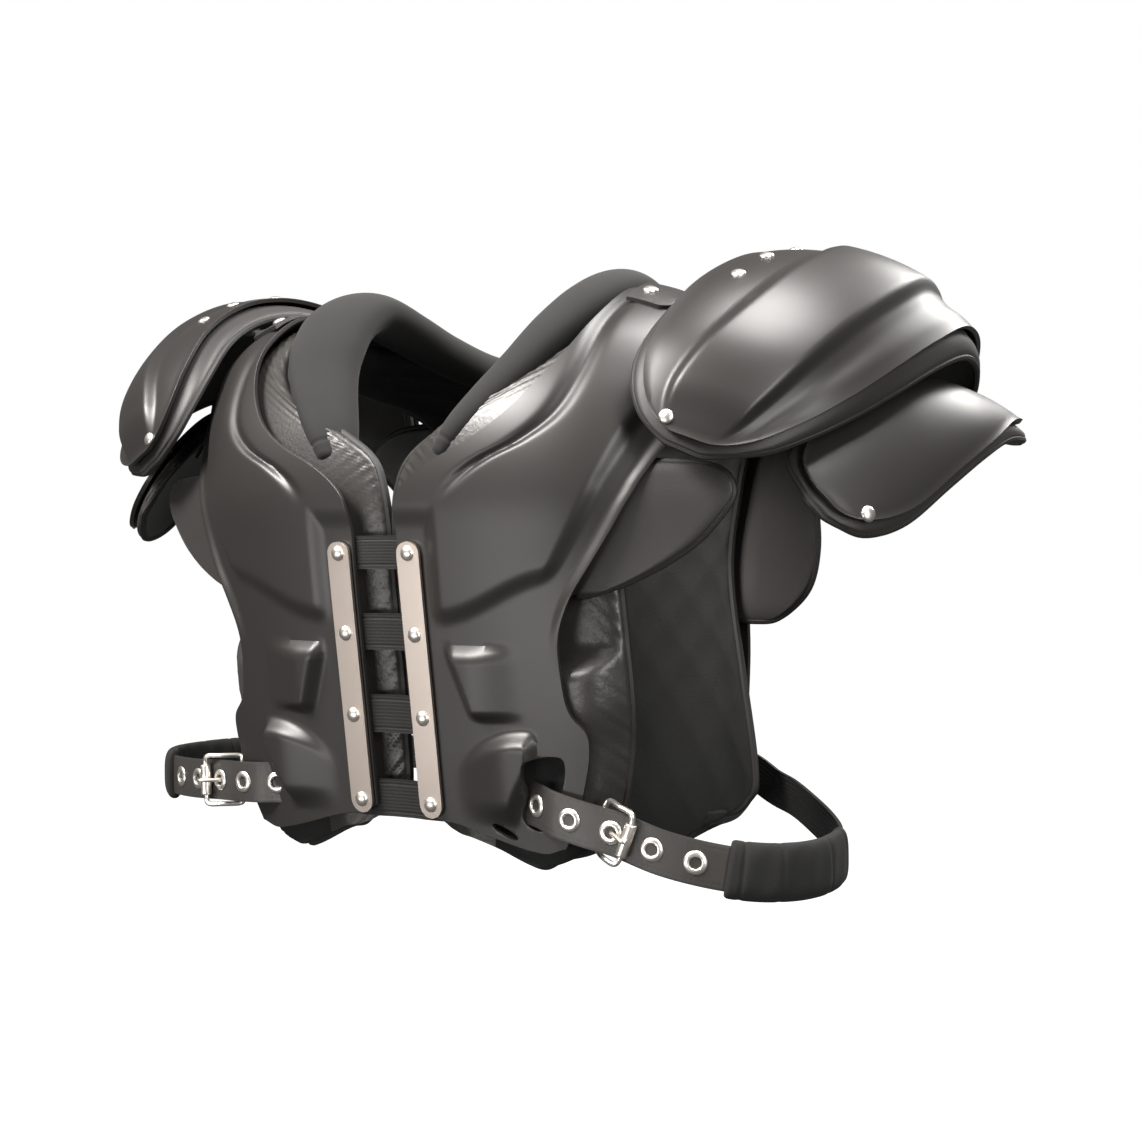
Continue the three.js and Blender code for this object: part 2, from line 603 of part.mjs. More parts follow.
// Cap strap: a strap from the top of the arch to the inner face of the cap pad.
function capStrap(side) {
  const under = -padThick - 1.8 - tabThick;
  const place = (a, b, c) => {
    const s = 0.52 + ((b - 0.5) * tabWidth) / lineLength;
    const u = 0.5 + (b - 0.5) * 0.2;
    const top = plateWall + touchGap + tabThick * c;
    const low = under + tabThick * c;
    const edge = torso(s, 0.99 * plateReach, top + 1.5);
    const held = capSkin(u, 0.3, low);
    const dip = edge.clone().lerp(held, 0.5).add(vec(0, 0, -15));
    const onArch = [torso(s, 0.84 * plateReach, top), torso(s, 0.92 * plateReach, top + 0.5)];
    const route = [...onArch, edge, dip, held, capSkin(u, 0.45, low)];
    return new THREE.CatmullRomCurve3(route).getPoint(a);
  };
  return bend(10, 1, 1, mirrored(place, side));
}

// Side belt route, from its tip under the hood round to the back arch.
// x: share of plateReach; y: share of chestDepth in front, or of backDepth behind; hang: share
// of the side's droop. Behind, the route climbs by backClimb onto the arch.
const beltTop = 0.9 * plateDrop;
const beltDroop = { 1: 34, [-1]: 5 };
const beltRows = [
  { x: 0.36, y: 0.804, hang: -0.1 },
  { x: 0.425, y: 0.799, hang: -0.04 },
  { x: 0.49, y: 0.817, hang: 0.03 },
  { x: 0.54, y: 0.842, hang: 0.1 },
  { x: 0.585, y: 0.846, hang: 0.17 },
  { x: 0.66, y: 0.833, hang: 0.28 },
  { x: 0.7475, y: 0.8, hang: 0.41 },
  { x: 0.873, y: 0.759, hang: 0.67 },
  { x: 0.995, y: 0.692, hang: 0.85 },
  { x: 1.1, y: 0.6, hang: 0.96 },
  { x: 1.17, y: 0.47, hang: 1 },
  { x: 1.2, y: 0.31, hang: 1 },
  { x: 1.195, y: 0.14, hang: 0.95 },
  { x: 1.15, y: -0.033, hang: 0.88 },
  { x: 1.04, y: -0.274, hang: 0.76 },
  { x: 0.88, y: -0.571, hang: 0.62 },
  { x: 0.74, y: -0.807, hang: 0.5 },
  { x: 0.64, y: -0.897, hang: 0.4 },
  { x: 0.53, y: -0.941, hang: 0.3 },
  { x: 0.42, y: -0.955, hang: 0.2 },
];
const backClimb = 8;
function beltRoute(side) {
  const drop = (row) => -beltTop - beltDroop[side] * row.hang + backClimb * smoothstep(-row.y, 0.88, 0.95);
  const depth = (row) => (row.y > 0 ? chestDepth : backDepth);
  const spots = beltRows.map((row) => vec(side * row.x * plateReach, -row.y * depth(row), drop(row)));
  const curve = new THREE.CatmullRomCurve3(spots, false, 'catmullrom', 0.5);
  const total = curve.getLength();
  return (run, across, out) => {
    const u = clamp(run / total, 0, 1);
    const ahead = curve.getTangentAt(u);
    const outward = ahead.clone().cross(vec(0, 0, -side)).normalize();
    const upward = outward.clone().cross(ahead).multiplyScalar(side).normalize();
    return curve.getPointAt(u).addScaledVector(upward, across).addScaledVector(outward, -out);
  };
}
const beltAhead = 27;
const beltRun = beltAhead + 5.1 * eyeletPitch;
const sleeveRun = [beltRun - 10, beltRun + 88];
const elasticRun = [beltRun + touchGap, 456];
const elasticSteps = 20;

function ribbon(side, [from, to], width, thick, steps) {
  const place = beltRoute(side);
  return bend(steps, 1, 1, (a, b, c) => place(lerp(from, to, a), (b - 0.5) * width, (c - 0.5) * thick));
}
// The room that the belt and the heel of its buckle need in the pieces round them.
function beltSpace(side) {
  return ribbon(side, [-1, beltRun], beltWidth + 1, beltThick + 2 * touchGap, 14);
}
function eyeletSpace(side) {
  const round = new THREE.CylinderGeometry(eyeletRim + touchGap, eyeletRim + touchGap, 4 * beltThick, 8);
  round.rotateX(Math.PI / 2);
  return atEyelet(side, 0, round);
}
function atEyelet(side, number, geometry) {
  const place = beltRoute(side);
  const run = beltAhead + number * eyeletPitch;
  return moved(geometry, (p) => place(run + p.x, p.y, p.z));
}
function eyelet(side, number) {
  const face = beltThick / 2 + touchGap;
  const profile = [[eyeletHole, -face], [eyeletHole, face + eyeletLip], [eyeletRim, face + 0.2],
    [eyeletRim, face], [eyeletBarrel, face], [eyeletBarrel, -face], [eyeletHole, -face]];
  const ring = new THREE.LatheGeometry(profile.map(([r, z]) => new THREE.Vector2(r, z)), 8);
  ring.rotateX(Math.PI / 2);
  return atEyelet(side, number, ring);
}
function belt(side) {
  const holes = [...Array(beltCount).keys()].map((k) => {
    const drill = new THREE.CylinderGeometry(eyeletBarrel + touchGap, eyeletBarrel + touchGap, 3 * beltThick, 8);
    drill.rotateX(Math.PI / 2);
    return atEyelet(side, k, drill);
  });
  return cut(ribbon(side, [0, beltRun], beltWidth, beltThick, 14), ...holes);
}
function sleeve(side) {
  const place = beltRoute(side);
  const [from, to] = sleeveRun;
  const body = bend(8, 2, 2, (a, b, c) => {
    const crown = 1 - 0.45 * Math.abs(2 * b - 1) ** 2;
    return place(lerp(from, to, a), (b - 0.5) * sleeveWidth, (c - 0.5) * sleeveThick * crown);
  });
  const beltRoom = ribbon(side, [0, beltRun + touchGap], beltWidth + 1, beltThick + 1.4, 14);
  const step = (elasticRun[1] - elasticRun[0]) / elasticSteps;
  const elasticRoom = ribbon(side, [elasticRun[0] - step, elasticRun[1]], elasticWidth + 1, elasticThick + 1,
    elasticSteps + 1);
  return cut(body, beltRoom, elasticRoom);
}

// Roller buckle: a wire frame round the belt, a loose roller, and a prong through an eyelet.
const prongEyelet = 2;
const rollerPast = 11;
const buckleLength = 20;
const rollerLift = beltThick / 2 + touchGap + rollerRadius;
const heelSink = beltThick / 2 + touchGap + plateWall + 2.4 + strapThick + buckleWire / 2;

function atBuckle(side) {
  const place = beltRoute(side);
  const run = beltAhead + prongEyelet * eyeletPitch + rollerPast;
  return (back, across, out) => place(run - back, across, out);
}
function buckleFrame(side) {
  const half = beltWidth / 2 + touchGap + buckleWire / 2 + 0.6;
  const lift = (t) => lerp(rollerLift, -heelSink, smoothstep(t, 0.25, 0.95));
  const corner = (t, across) => vec(t * buckleLength, across * half, lift(t));
  const loop = [corner(0, -0.72), corner(0, 0), corner(0, 0.72), corner(0.12, 1), corner(0.5, 1.02),
    corner(0.88, 1), corner(1, 0.72), corner(1, 0), corner(1, -0.72), corner(0.88, -1),
    corner(0.5, -1.02), corner(0.12, -1)];
  const path = new THREE.CatmullRomCurve3(loop, true, 'catmullrom', 0.5);
  const place = atBuckle(side);
  const ring = new THREE.TorusGeometry(2, 1, 5, 22);
  return moved(ring, (p) => {
    const u = (Math.atan2(p.y, p.x) / (2 * Math.PI) + 1) % 1;
    const ahead = path.getTangent(u);
    const sideways = ahead.clone().cross(vec(0, 0, 1)).normalize();
    const q = path.getPoint(u).addScaledVector(sideways, (Math.hypot(p.x, p.y) - 2) * (buckleWire / 2))
      .addScaledVector(sideways.clone().cross(ahead), p.z * (buckleWire / 2));
    return place(q.x, q.y, q.z);
  });
}
function roller(side) {
  const bore = buckleWire / 2 + 0.55;
  const half = beltWidth * 0.38;
  const profile = [[bore, -half], [rollerRadius, -half], [rollerRadius, half], [bore, half], [bore, -half]];
  const tube = new THREE.LatheGeometry(profile.map(([r, y]) => new THREE.Vector2(r, y)), 10);
  tube.translate(0, 0, rollerLift);
  const place = atBuckle(side);
  return moved(tube, (p) => place(p.x, p.y, p.z));
}
function prong(side) {
  const radius = 1.3;
  const hole = rollerPast;
  const top = rollerLift + rollerRadius + touchGap + radius;
  const spots = [[buckleLength - 4.5, -2.9], [hole + 4, -2.9], [hole + 1.4, -1.9], [hole, 0.2], [hole - 1.6, 3], [2.5, top], [-1.5, top]];
  const path = new THREE.CatmullRomCurve3(spots.map(([t, n]) => vec(t, 0, n)), false, 'catmullrom', 0.5);
  const section = new THREE.Shape();
  section.absarc(0, 0, radius, 0, 2 * Math.PI, false);
  const rod = new THREE.ExtrudeGeometry(section, { steps: 9, curveSegments: 3, extrudePath: path, bevelEnabled: false });
  const place = atBuckle(side);
  return moved(rod, (p) => place(p.x, p.y, p.z));
}

// Buckle strap: webbing riveted behind the arch's flank and looped round the frame's heel bar.
function buckleStrap(side, room) {
  const place = atBuckle(side);
  const inner = buckleWire / 2 + touchGap - room;
  return bend(10, 1, 1, (a, b, c) => {
    const r = inner + (strapThick + 2 * room) * (1 - c);
    const turn = Math.max(0, (a - 0.3) / 0.7);
    const angle = -Math.PI / 2 - turn * 1.25 * Math.PI;
    const tail = Math.max(0, (0.3 - a) / 0.3) * 22;
    return place(buckleLength + tail + r * Math.cos(angle), (b - 0.5) * (20 + 2 * room),
      -heelSink + r * Math.sin(angle));
  });
}

// Materials, one for each finish.
const paint = (color, roughness, metalness = 0) => new THREE.MeshStandardMaterial({ color, roughness, metalness });
const finish = {
  shell: paint(0x3b3835, 0.42),
  pad: paint(0x3d3b39, 0.75),
  liner: paint(0x5c5955, 0.5),
  neoprene: paint(0x34322f, 0.85),
  elastic: paint(0x2a2928, 0.8),
  bar: paint(0xc3b8ae, 0.35, 1),
  nickel: paint(0xc9c4bd, 0.18, 1),
  webbing: paint(0x3c3a38, 0.55),
};

const shoulderPad = new THREE.Group();
function add(name, geometry, material) {
  const mesh = new THREE.Mesh(geometry, material);
  mesh.name = name;
  shoulderPad.add(mesh);
}

add('collar_roll', collarRoll(0), finish.neoprene);
frontRows.forEach((at, i) => add(`front_strap_${i + 1}`, closingStrap(at, touchGap), finish.elastic));
backRows.forEach((at, i) => add(`back_strap_${i + 1}`, closingStrap(at, backSinks[i]), finish.elastic));

for (const [hand, side] of [['left', 1], ['right', -1]]) {
  const linerBody = bend(linerRows.length - 1, 6, 1, mirrored(linerSurface, side));
  const liner = cut(linerBody, collarRoll(touchGap), buckleStrap(side, touchGap), beltSpace(side));
  add(`arch_${hand}`, arch(side), finish.shell);
  add(`liner_${hand}`, liner, finish.liner);
  add(`front_bar_${hand}`, closingBar(side, frontRows), finish.bar);
  add(`back_bar_${hand}`, closingBar(side, backRows), finish.bar);
  add(`epaulet_${hand}`, topPlate(epauletSkin, side, epauletMargin, raisedPanel), finish.shell);
  add(`epaulet_pad_${hand}`, underPad(epauletSkin, side, epauletMargin, raisedPanel), finish.pad);
  add(`cap_${hand}`, topPlate(capSkin, side, capMargin, flat), finish.shell);
  add(`cap_pad_${hand}`, underPad(capSkin, side, capMargin, flat), finish.pad);
  add(`chest_flap_${hand}`, flap(chestFlapRow, side), finish.pad);
  add(`back_flap_${hand}`, flap(backFlapRow, side), finish.pad);
  add(`shoulder_tab_${hand}`, shoulderTab(side), finish.webbing);
  add(`cap_strap_${hand}`, capStrap(side), finish.webbing);
  add(`belt_${hand}`, belt(side), finish.webbing);
  add(`belt_sleeve_${hand}`, sleeve(side), finish.neoprene);
  add(`side_elastic_${hand}`, ribbon(side, elasticRun, elasticWidth, elasticThick, elasticSteps), finish.elastic);
  add(`buckle_frame_${hand}`, buckleFrame(side), finish.nickel);
  add(`buckle_roller_${hand}`, roller(side), finish.nickel);
  add(`buckle_prong_${hand}`, prong(side), finish.nickel);
  add(`buckle_strap_${hand}`, buckleStrap(side, 0), finish.webbing);
  for (let k = 0; k < beltCount; k += 1) {
    add(`eyelet_${k + 1}_${hand}`, eyelet(side, k), finish.nickel);
  }
}

export default shoulderPad;
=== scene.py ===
import bpy
import numpy as np
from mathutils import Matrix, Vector


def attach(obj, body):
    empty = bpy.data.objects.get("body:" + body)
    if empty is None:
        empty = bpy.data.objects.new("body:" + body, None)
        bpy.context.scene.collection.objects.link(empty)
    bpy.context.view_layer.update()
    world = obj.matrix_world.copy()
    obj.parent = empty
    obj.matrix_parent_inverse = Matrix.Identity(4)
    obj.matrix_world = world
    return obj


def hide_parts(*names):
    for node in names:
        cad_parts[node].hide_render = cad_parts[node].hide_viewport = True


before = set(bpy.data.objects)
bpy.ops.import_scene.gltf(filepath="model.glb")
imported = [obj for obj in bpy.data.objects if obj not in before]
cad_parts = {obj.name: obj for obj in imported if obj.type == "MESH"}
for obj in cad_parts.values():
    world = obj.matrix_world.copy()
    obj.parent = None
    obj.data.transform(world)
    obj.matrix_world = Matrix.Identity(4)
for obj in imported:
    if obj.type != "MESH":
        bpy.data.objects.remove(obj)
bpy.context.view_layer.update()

# Body arches: two plates of moulded plastic, each from the chest over the shoulder to the back.
# The dome, the groove at the neck, the waist panel and the hood are pressed into the sheet, and
# a window beside the hood lets the side belt out.
chest_depth, back_depth, plate_drop, plate_reach = 146.0, 133.0, 330.0, 200.0
flank_reach, side_drop, line_length, shell_wall = 150.0, 24.0, 905.0, 3.0
past_hem = 0.05

# Side profile, front hem to back hem. fore: share of the depth, before or behind the shoulder
# seat; down: share of plate_drop; round: share of side_drop lost at the flank.
torso_rows = np.array([
    (0.74, 1.16, 0.62), (0.788, 1.015, 0.62), (0.836, 0.873, 0.6), (0.884, 0.73, 0.58),
    (0.932, 0.594, 0.7), (0.976, 0.461, 0.88), (1.0, 0.352, 0.95), (0.966, 0.242, 1.0),
    (0.87, 0.145, 0.92), (0.712, 0.058, 0.76), (0.479, -0.003, 0.58), (0.219, -0.024, 0.48),
    (-0.06, -0.024, 0.48), (-0.346, -0.006, 0.54), (-0.602, 0.039, 0.66), (-0.805, 0.112, 0.8),
    (-0.932, 0.212, 0.9), (-0.992, 0.333, 0.9), (-1.0, 0.47, 0.8), (-0.977, 0.621, 0.74),
    (-0.947, 0.788, 0.7), (-0.91, 0.985, 0.66), (-0.87, 1.17, 0.62)])
# Outline of one arch: share of the line, then inner and outer edge as shares of plate_reach.
arch_rows = np.array([
    (0.0095, 0.085, 0.57), (0.028, 0.085, 0.61), (0.05, 0.085, 0.64), (0.069, 0.085, 0.66),
    (0.083, 0.085, 0.658), (0.095, 0.085, 0.615), (0.11, 0.085, 0.598), (0.14, 0.085, 0.594),
    (0.165, 0.085, 0.63), (0.19, 0.085, 0.695), (0.215, 0.085, 0.75), (0.24, 0.095, 0.79),
    (0.256, 0.14, 0.81), (0.27, 0.22, 0.83), (0.286, 0.345, 0.85), (0.308, 0.45, 0.875),
    (0.34, 0.53, 0.91), (0.38, 0.592, 0.945), (0.43, 0.622, 0.97), (0.49, 0.618, 0.98),
    (0.55, 0.6, 0.97), (0.61, 0.565, 0.93), (0.66, 0.5, 0.87), (0.71, 0.38, 0.77),
    (0.75, 0.23, 0.68), (0.79, 0.11, 0.585), (0.85, 0.085, 0.51), (0.92, 0.085, 0.525),
    (0.994, 0.085, 0.52)])
hem_rise = np.array([(0.025,), (0.0185,), (0.0168,), (0.0135,), (0.0095,), (0.0055,), (0.002,),
                     (0.0,), (0.004,)])
hem_fade = 0.09


def through(wide, place):
    """Uniform Catmull-Rom curve through all points of wide but its first and last, at place
    counted in points: b + ((c - a)f + (2a - 5b + 4c - d)f^2 + (3b - a - 3c + d)f^3) / 2."""
    i = np.minimum(place.astype(int), len(wide) - 4)
    f = (place - i)[..., None]
    a, b, c, d = (wide[i + k] for k in range(4))
    return b + 0.5 * ((c - a) * f + (2 * a - 5 * b + 4 * c - d) * f**2 + (3 * b - a - 3 * c + d) * f**3)


def along(table, t):
    """Values of a table's columns at shares t of its length, its end rows counted twice."""
    place = np.clip(np.asarray(t, float), 0, 1) * (len(table) - 1)
    return through(np.vstack([table[:1], table, table[-1:]]), place)


def ease(x, low, high):
    """Smooth step: 0 below low, 1 above high, 3t^2 - 2t^3 between."""
    t = np.clip((x - low) / (high - low), 0, 1)
    return t * t * (3 - 2 * t)


def band(x, low, high, soft):
    """1 between low and high, eased to 0 over soft on both sides."""
    return ease(x, low - soft, low) * (1 - ease(x, high, high + soft))


def round_fall(x):
    """How far the surface has fallen away at x: the fourth power of its share of the flank."""
    return (np.abs(x) / flank_reach) ** 4


def torso_line(s):
    """y, z and sideways drop of the side profile at s."""
    row = along(torso_rows, (s + past_hem) / (1 + 2 * past_hem))
    depth = np.where(row[..., 0] > 0, chest_depth, back_depth)
    return -row[..., 0] * depth, -row[..., 1] * plate_drop, row[..., 2] * side_drop


def torso(s, x, lift, fall=round_fall):
    """Points of the torso: the profile at s, moved out to x and in by the drop times fall(x),
    then raised by lift along the surface's normal."""
    s, x, lift = np.broadcast_arrays(*(np.asarray(v, float) for v in (s, x, lift)))
    y, z, drop = torso_line(s)
    ya, za, _ = torso_line(s - 0.004)
    yb, zb, _ = torso_line(s + 0.004)
    length = np.hypot(yb - ya, zb - za)
    out_y, out_z = -(zb - za) / length, (yb - ya) / length
    slope = (fall(x + 1) - fall(x - 1)) / 2 * drop
    tilt = np.sqrt(slope**2 + 1)
    off = lift / tilt - drop * fall(x)
    return np.stack([x + lift * slope / tilt, y + out_y * off, z + out_z * off], -1)


def press(s, x, inner, outer):
    """Height of the pressed forms: eased steps for the chest dome, the panel and the hood, a
    bell-shaped groove beside the neck edge, and a curl up at the armhole edge."""
    from_arm = outer - x
    front = 1 - ease(s, 0.45, 0.5)
    foot = 0.157 + 0.026 * ease(x, 45, 120)
    dome = 3.4 * ease(s, foot - 0.007, foot + 0.007) * ease(from_arm, 14, 24) * front
    dome = dome * np.maximum(ease(x, 37, 48), ease(s, 0.215, 0.24))
    rim = 3.0 * ease(7 - from_arm, 0, 7) * ease(s, 0.12, 0.18) * front
    from_neck = x - inner - (34 - 28 * ease(s, 0.25, 0.42))
    groove = 2.7 * np.exp(-((from_neck / 4.5) ** 2)) * ease(s, 0.235, 0.27) * front
    edge = 59 - 16 * np.clip((s - 0.088) / 0.05, 0, 1)
    panel = 7 * ease(x, edge, edge + 8) * (1 - ease(x, 62, 98)) * band(s, 0.097, 0.131, 0.008)
    top = 0.086 - 0.0000095 * (x - 94) ** 2
    side = 84 + 15 * ease(s, 0.03, 0.07)
    hood = 8 * ease(x, 44, 86) * (1 - ease(x, side - 3, side + 3))
    hood = hood * ease(s, 0.024, 0.042) * (1 - ease(s, top - 0.011, top))
    return dome + rim - groove + panel + hood


def hemmed(s, b):
    """The share s, drawn up by hem_rise at width share b where it nears either end."""
    rise = along(hem_rise, b)[..., 0]
    return s + rise * (np.maximum(0, 1 - s / hem_fade) - np.maximum(0, 1 - (1 - s) / hem_fade))


def arch_surface(a, b, lift):
    """Point of the arch at row share a and width share b: torso surface plus the press."""
    row = along(arch_rows, a)
    inner, outer = row[..., 1] * plate_reach, row[..., 2] * plate_reach
    x = inner + (outer - inner) * b
    s = hemmed(row[..., 0], b)
    return torso(s, x, lift + press(s, x, inner, outer))


def close_ends(n, edge):
    """n shares from 0 to 1, packed towards both ends by a cosine mixed with an even run."""
    t = np.linspace(0, 1, n)
    return (1 - edge) * t + edge * (1 - np.cos(np.pi * t)) / 2


def slab(top, low):
    """Points and faces of a closed sheet: two grids of one size, joined round their edges."""
    n, m = top.shape[:2]
    up = np.arange(n * m).reshape(n, m)

    def cells(g):
        return np.stack([g[:-1, :-1], g[1:, :-1], g[1:, 1:], g[:-1, 1:]], -1).reshape(-1, 4)

    ring = np.concatenate([up[:-1, 0], up[-1, :-1], up[:0:-1, -1], up[0, :0:-1]])
    ahead = np.roll(ring, -1)
    sides = np.stack([ahead, ring, ring + n * m, ahead + n * m], -1)
    points = np.concatenate([top.reshape(-1, 3), low.reshape(-1, 3)])
    return points, np.concatenate([cells(up), cells(up + n * m)[:, ::-1], sides])


def piece(name, shape, stuff, stands_for=(), side=1, sharp=40, split=None):
    """A mesh object from points in millimetres and quads. Mirrored to the right where side is
    -1, faces turned out by the sign of the volume, riding on the part's one body."""
    points, quads = shape
    points = points * (side * 0.001, 0.001, 0.001)
    a, b, c, d = (points[quads[:, k]] for k in range(4))
    volume = (np.cross(b, c) * a).sum() + (np.cross(c, d) * a).sum()
    quads = quads[:, ::-1] if volume < 0 else quads
    mesh = bpy.data.meshes.new(name)
    mesh.from_pydata(points.tolist(), [], quads.tolist())
    mesh.validate()
    for each in stuff if isinstance(stuff, (list, tuple)) else [stuff]:
        mesh.materials.append(each)
    if split is not None:
        mesh.polygons.foreach_set("material_index", split.astype(np.int32))
    mesh.polygons.foreach_set("use_smooth", np.ones(len(mesh.polygons), bool))
    mesh.set_sharp_from_angle(angle=np.radians(sharp))
    made = bpy.data.objects.new(name, mesh)
    bpy.context.collection.objects.link(made)
    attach(made, "root")
    if stands_for:
        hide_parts(*stands_for)
    return made


def settle(made):
    """Puts what the modifiers make into the mesh."""
    graph = bpy.context.evaluated_depsgraph_get()
    mesh = bpy.data.meshes.new_from_object(made.evaluated_get(graph))
    made.modifiers.clear()
    made.data = mesh


def soften(made, width, segments=2):
    """Rounds every edge sharper than 50 degrees."""
    bevel = made.modifiers.new("soften", "BEVEL")
    bevel.width, bevel.segments = width * 0.001, segments
    bevel.limit_method, bevel.angle_limit = "ANGLE", np.radians(50)


def rounded(corners, times=3):
    """Corner cutting: each pass puts two points at the quarters of every side."""
    line = np.asarray(corners, float)
    for _ in range(times):
        after = np.roll(line, -1, 0)
        line = np.stack([0.75 * line + 0.25 * after, 0.25 * line + 0.75 * after], 1).reshape(-1, 2)
    return line


def punch(made, corners, side):
    """Cuts a hole of this outline in (x, z) through the front of a plate."""
    line = rounded(corners)
    front = np.stack([side * line[:, 0], np.full(len(line), -170.0), line[:, 1]], -1)
    points = np.concatenate([front, front + (0, 70, 0)]) * 0.001
    n = len(line)
    ring = list(range(n))
    walls = [(k, (k + 1) % n, n + (k + 1) % n, n + k) for k in ring]
    mesh = bpy.data.meshes.new("punch")
    mesh.from_pydata(points.tolist(), [], [ring[::-1], [n + k for k in ring], *walls])
    tool = bpy.data.objects.new("punch", mesh)
    bpy.context.collection.objects.link(tool)
    cut = made.modifiers.new("punch", "BOOLEAN")
    cut.operation, cut.solver, cut.object = "DIFFERENCE", "EXACT", tool
    settle(made)
    bpy.data.objects.remove(tool)


def grain_group():
    """Fine noise at a given size, for mottled roughness and a grained face."""
    group = bpy.data.node_groups.new("grain", "ShaderNodeTree")
    group.interface.new_socket("Size", in_out="INPUT", socket_type="NodeSocketFloat")
    group.interface.new_socket("Height", in_out="OUTPUT", socket_type="NodeSocketFloat")
    given = group.nodes.new("NodeGroupInput")
    out = group.nodes.new("NodeGroupOutput")
    where = group.nodes.new("ShaderNodeTexCoord")
    noise = group.nodes.new("ShaderNodeTexNoise")
    noise.inputs["Detail"].default_value = 3
    group.links.new(where.outputs["Object"], noise.inputs["Vector"])
    group.links.new(given.outputs["Size"], noise.inputs["Scale"])
    group.links.new(noise.outputs["Fac"], out.inputs["Height"])
    return group


grain = grain_group()


def finish(name, color, roughness, metallic=0.0, size=900.0, depth=0.1, mottle=0.06, sheen=0.0):
    """A finish: one colour, grain of the given size pressed in by depth millimetres, and its
    roughness mottled by the same grain."""
    made = bpy.data.materials.new(name)
    made.use_nodes = True
    nodes, links = made.node_tree.nodes, made.node_tree.links
    shader = nodes["Principled BSDF"]
    shader.inputs["Base Color"].default_value = (*color, 1)
    shader.inputs["Metallic"].default_value = metallic
    shader.inputs["Sheen Weight"].default_value = sheen
    grained = nodes.new("ShaderNodeGroup")
    grained.node_tree = grain
    grained.inputs["Size"].default_value = size
    bump = nodes.new("ShaderNodeBump")
    bump.inputs["Distance"].default_value = depth * 0.001
    links.new(grained.outputs["Height"], bump.inputs["Height"])
    links.new(bump.outputs["Normal"], shader.inputs["Normal"])
    spread = nodes.new("ShaderNodeMapRange")
    spread.inputs["To Min"].default_value = roughness - mottle
    spread.inputs["To Max"].default_value = roughness + mottle
    links.new(grained.outputs["Height"], spread.inputs["Value"])
    links.new(spread.outputs["Result"], shader.inputs["Roughness"])
    return made


plate_plastic = finish("plate_plastic", (0.017, 0.0155, 0.0145), 0.4, size=1400, depth=0.02, mottle=0.04)
belt_window = [(96, -271), (117, -268), (118.5, -277), (115, -290), (104, -316), (86.5, -309),
               (91, -295), (94.5, -281)]
small_slot = [(68.5, -309), (85, -316.5), (83, -321), (66.5, -313.5)]
hands = (("left", 1), ("right", -1))
a, b = np.meshgrid(close_ends(214, 0.1), close_ends(74, 0.35), indexing="ij")
for hand, side in hands:
    plate = slab(arch_surface(a, b, shell_wall), arch_surface(a, b, 0))
    arch = piece(f"arch_shell_{hand}", plate, plate_plastic, [f"arch_{hand}"], side)
    punch(arch, belt_window, side)
    punch(arch, small_slot, side)
    soften(arch, 0.9)

# Liners: one long padded layer under each arch, satin on top and round the edge, dark quilted
# mesh inside, with a bound edge whose thread puckers the satin. The satin seen through the belt
# window and the small slot takes the dark mesh colour as painted shade.
liner_thick, liner_edge, liner_gap, flap_sink, flap_thick = 20.0, 8.0, 2.4, 4.0, 8.0
back_drop = 0.03
liner_rows = np.array([
    (-0.004, 0.16, 0.5), (0.001, 0.08, 0.6), (0.01, 0.04, 0.66), (0.03, 0.025, 0.715),
    (0.065, 0.02, 0.755), (0.1, 0.014, 0.77), (0.14, 0.013, 0.765), (0.18, 0.012, 0.76),
    (0.22, 0.012, 0.765),
    (0.255, 0.03, 0.78), (0.28, 0.075, 0.8), (0.305, 0.2, 0.825), (0.34, 0.4, 0.855),
    (0.38, 0.53, 0.89), (0.43, 0.59, 0.925), (0.49, 0.625, 0.94), (0.55, 0.61, 0.92),
    (0.6, 0.525, 0.87), (0.64, 0.46, 0.82), (0.68, 0.33, 0.74), (0.725, 0.12, 0.68),
    (0.75, 0.03, 0.64), (0.8, 0.02, 0.565), (0.86, 0.02, 0.515), (0.93, 0.02, 0.585),
    (0.985, 0.03, 0.66), (0.998, 0.06, 0.63), (1.005, 0.1, 0.57), (1.008, 0.18, 0.46)])


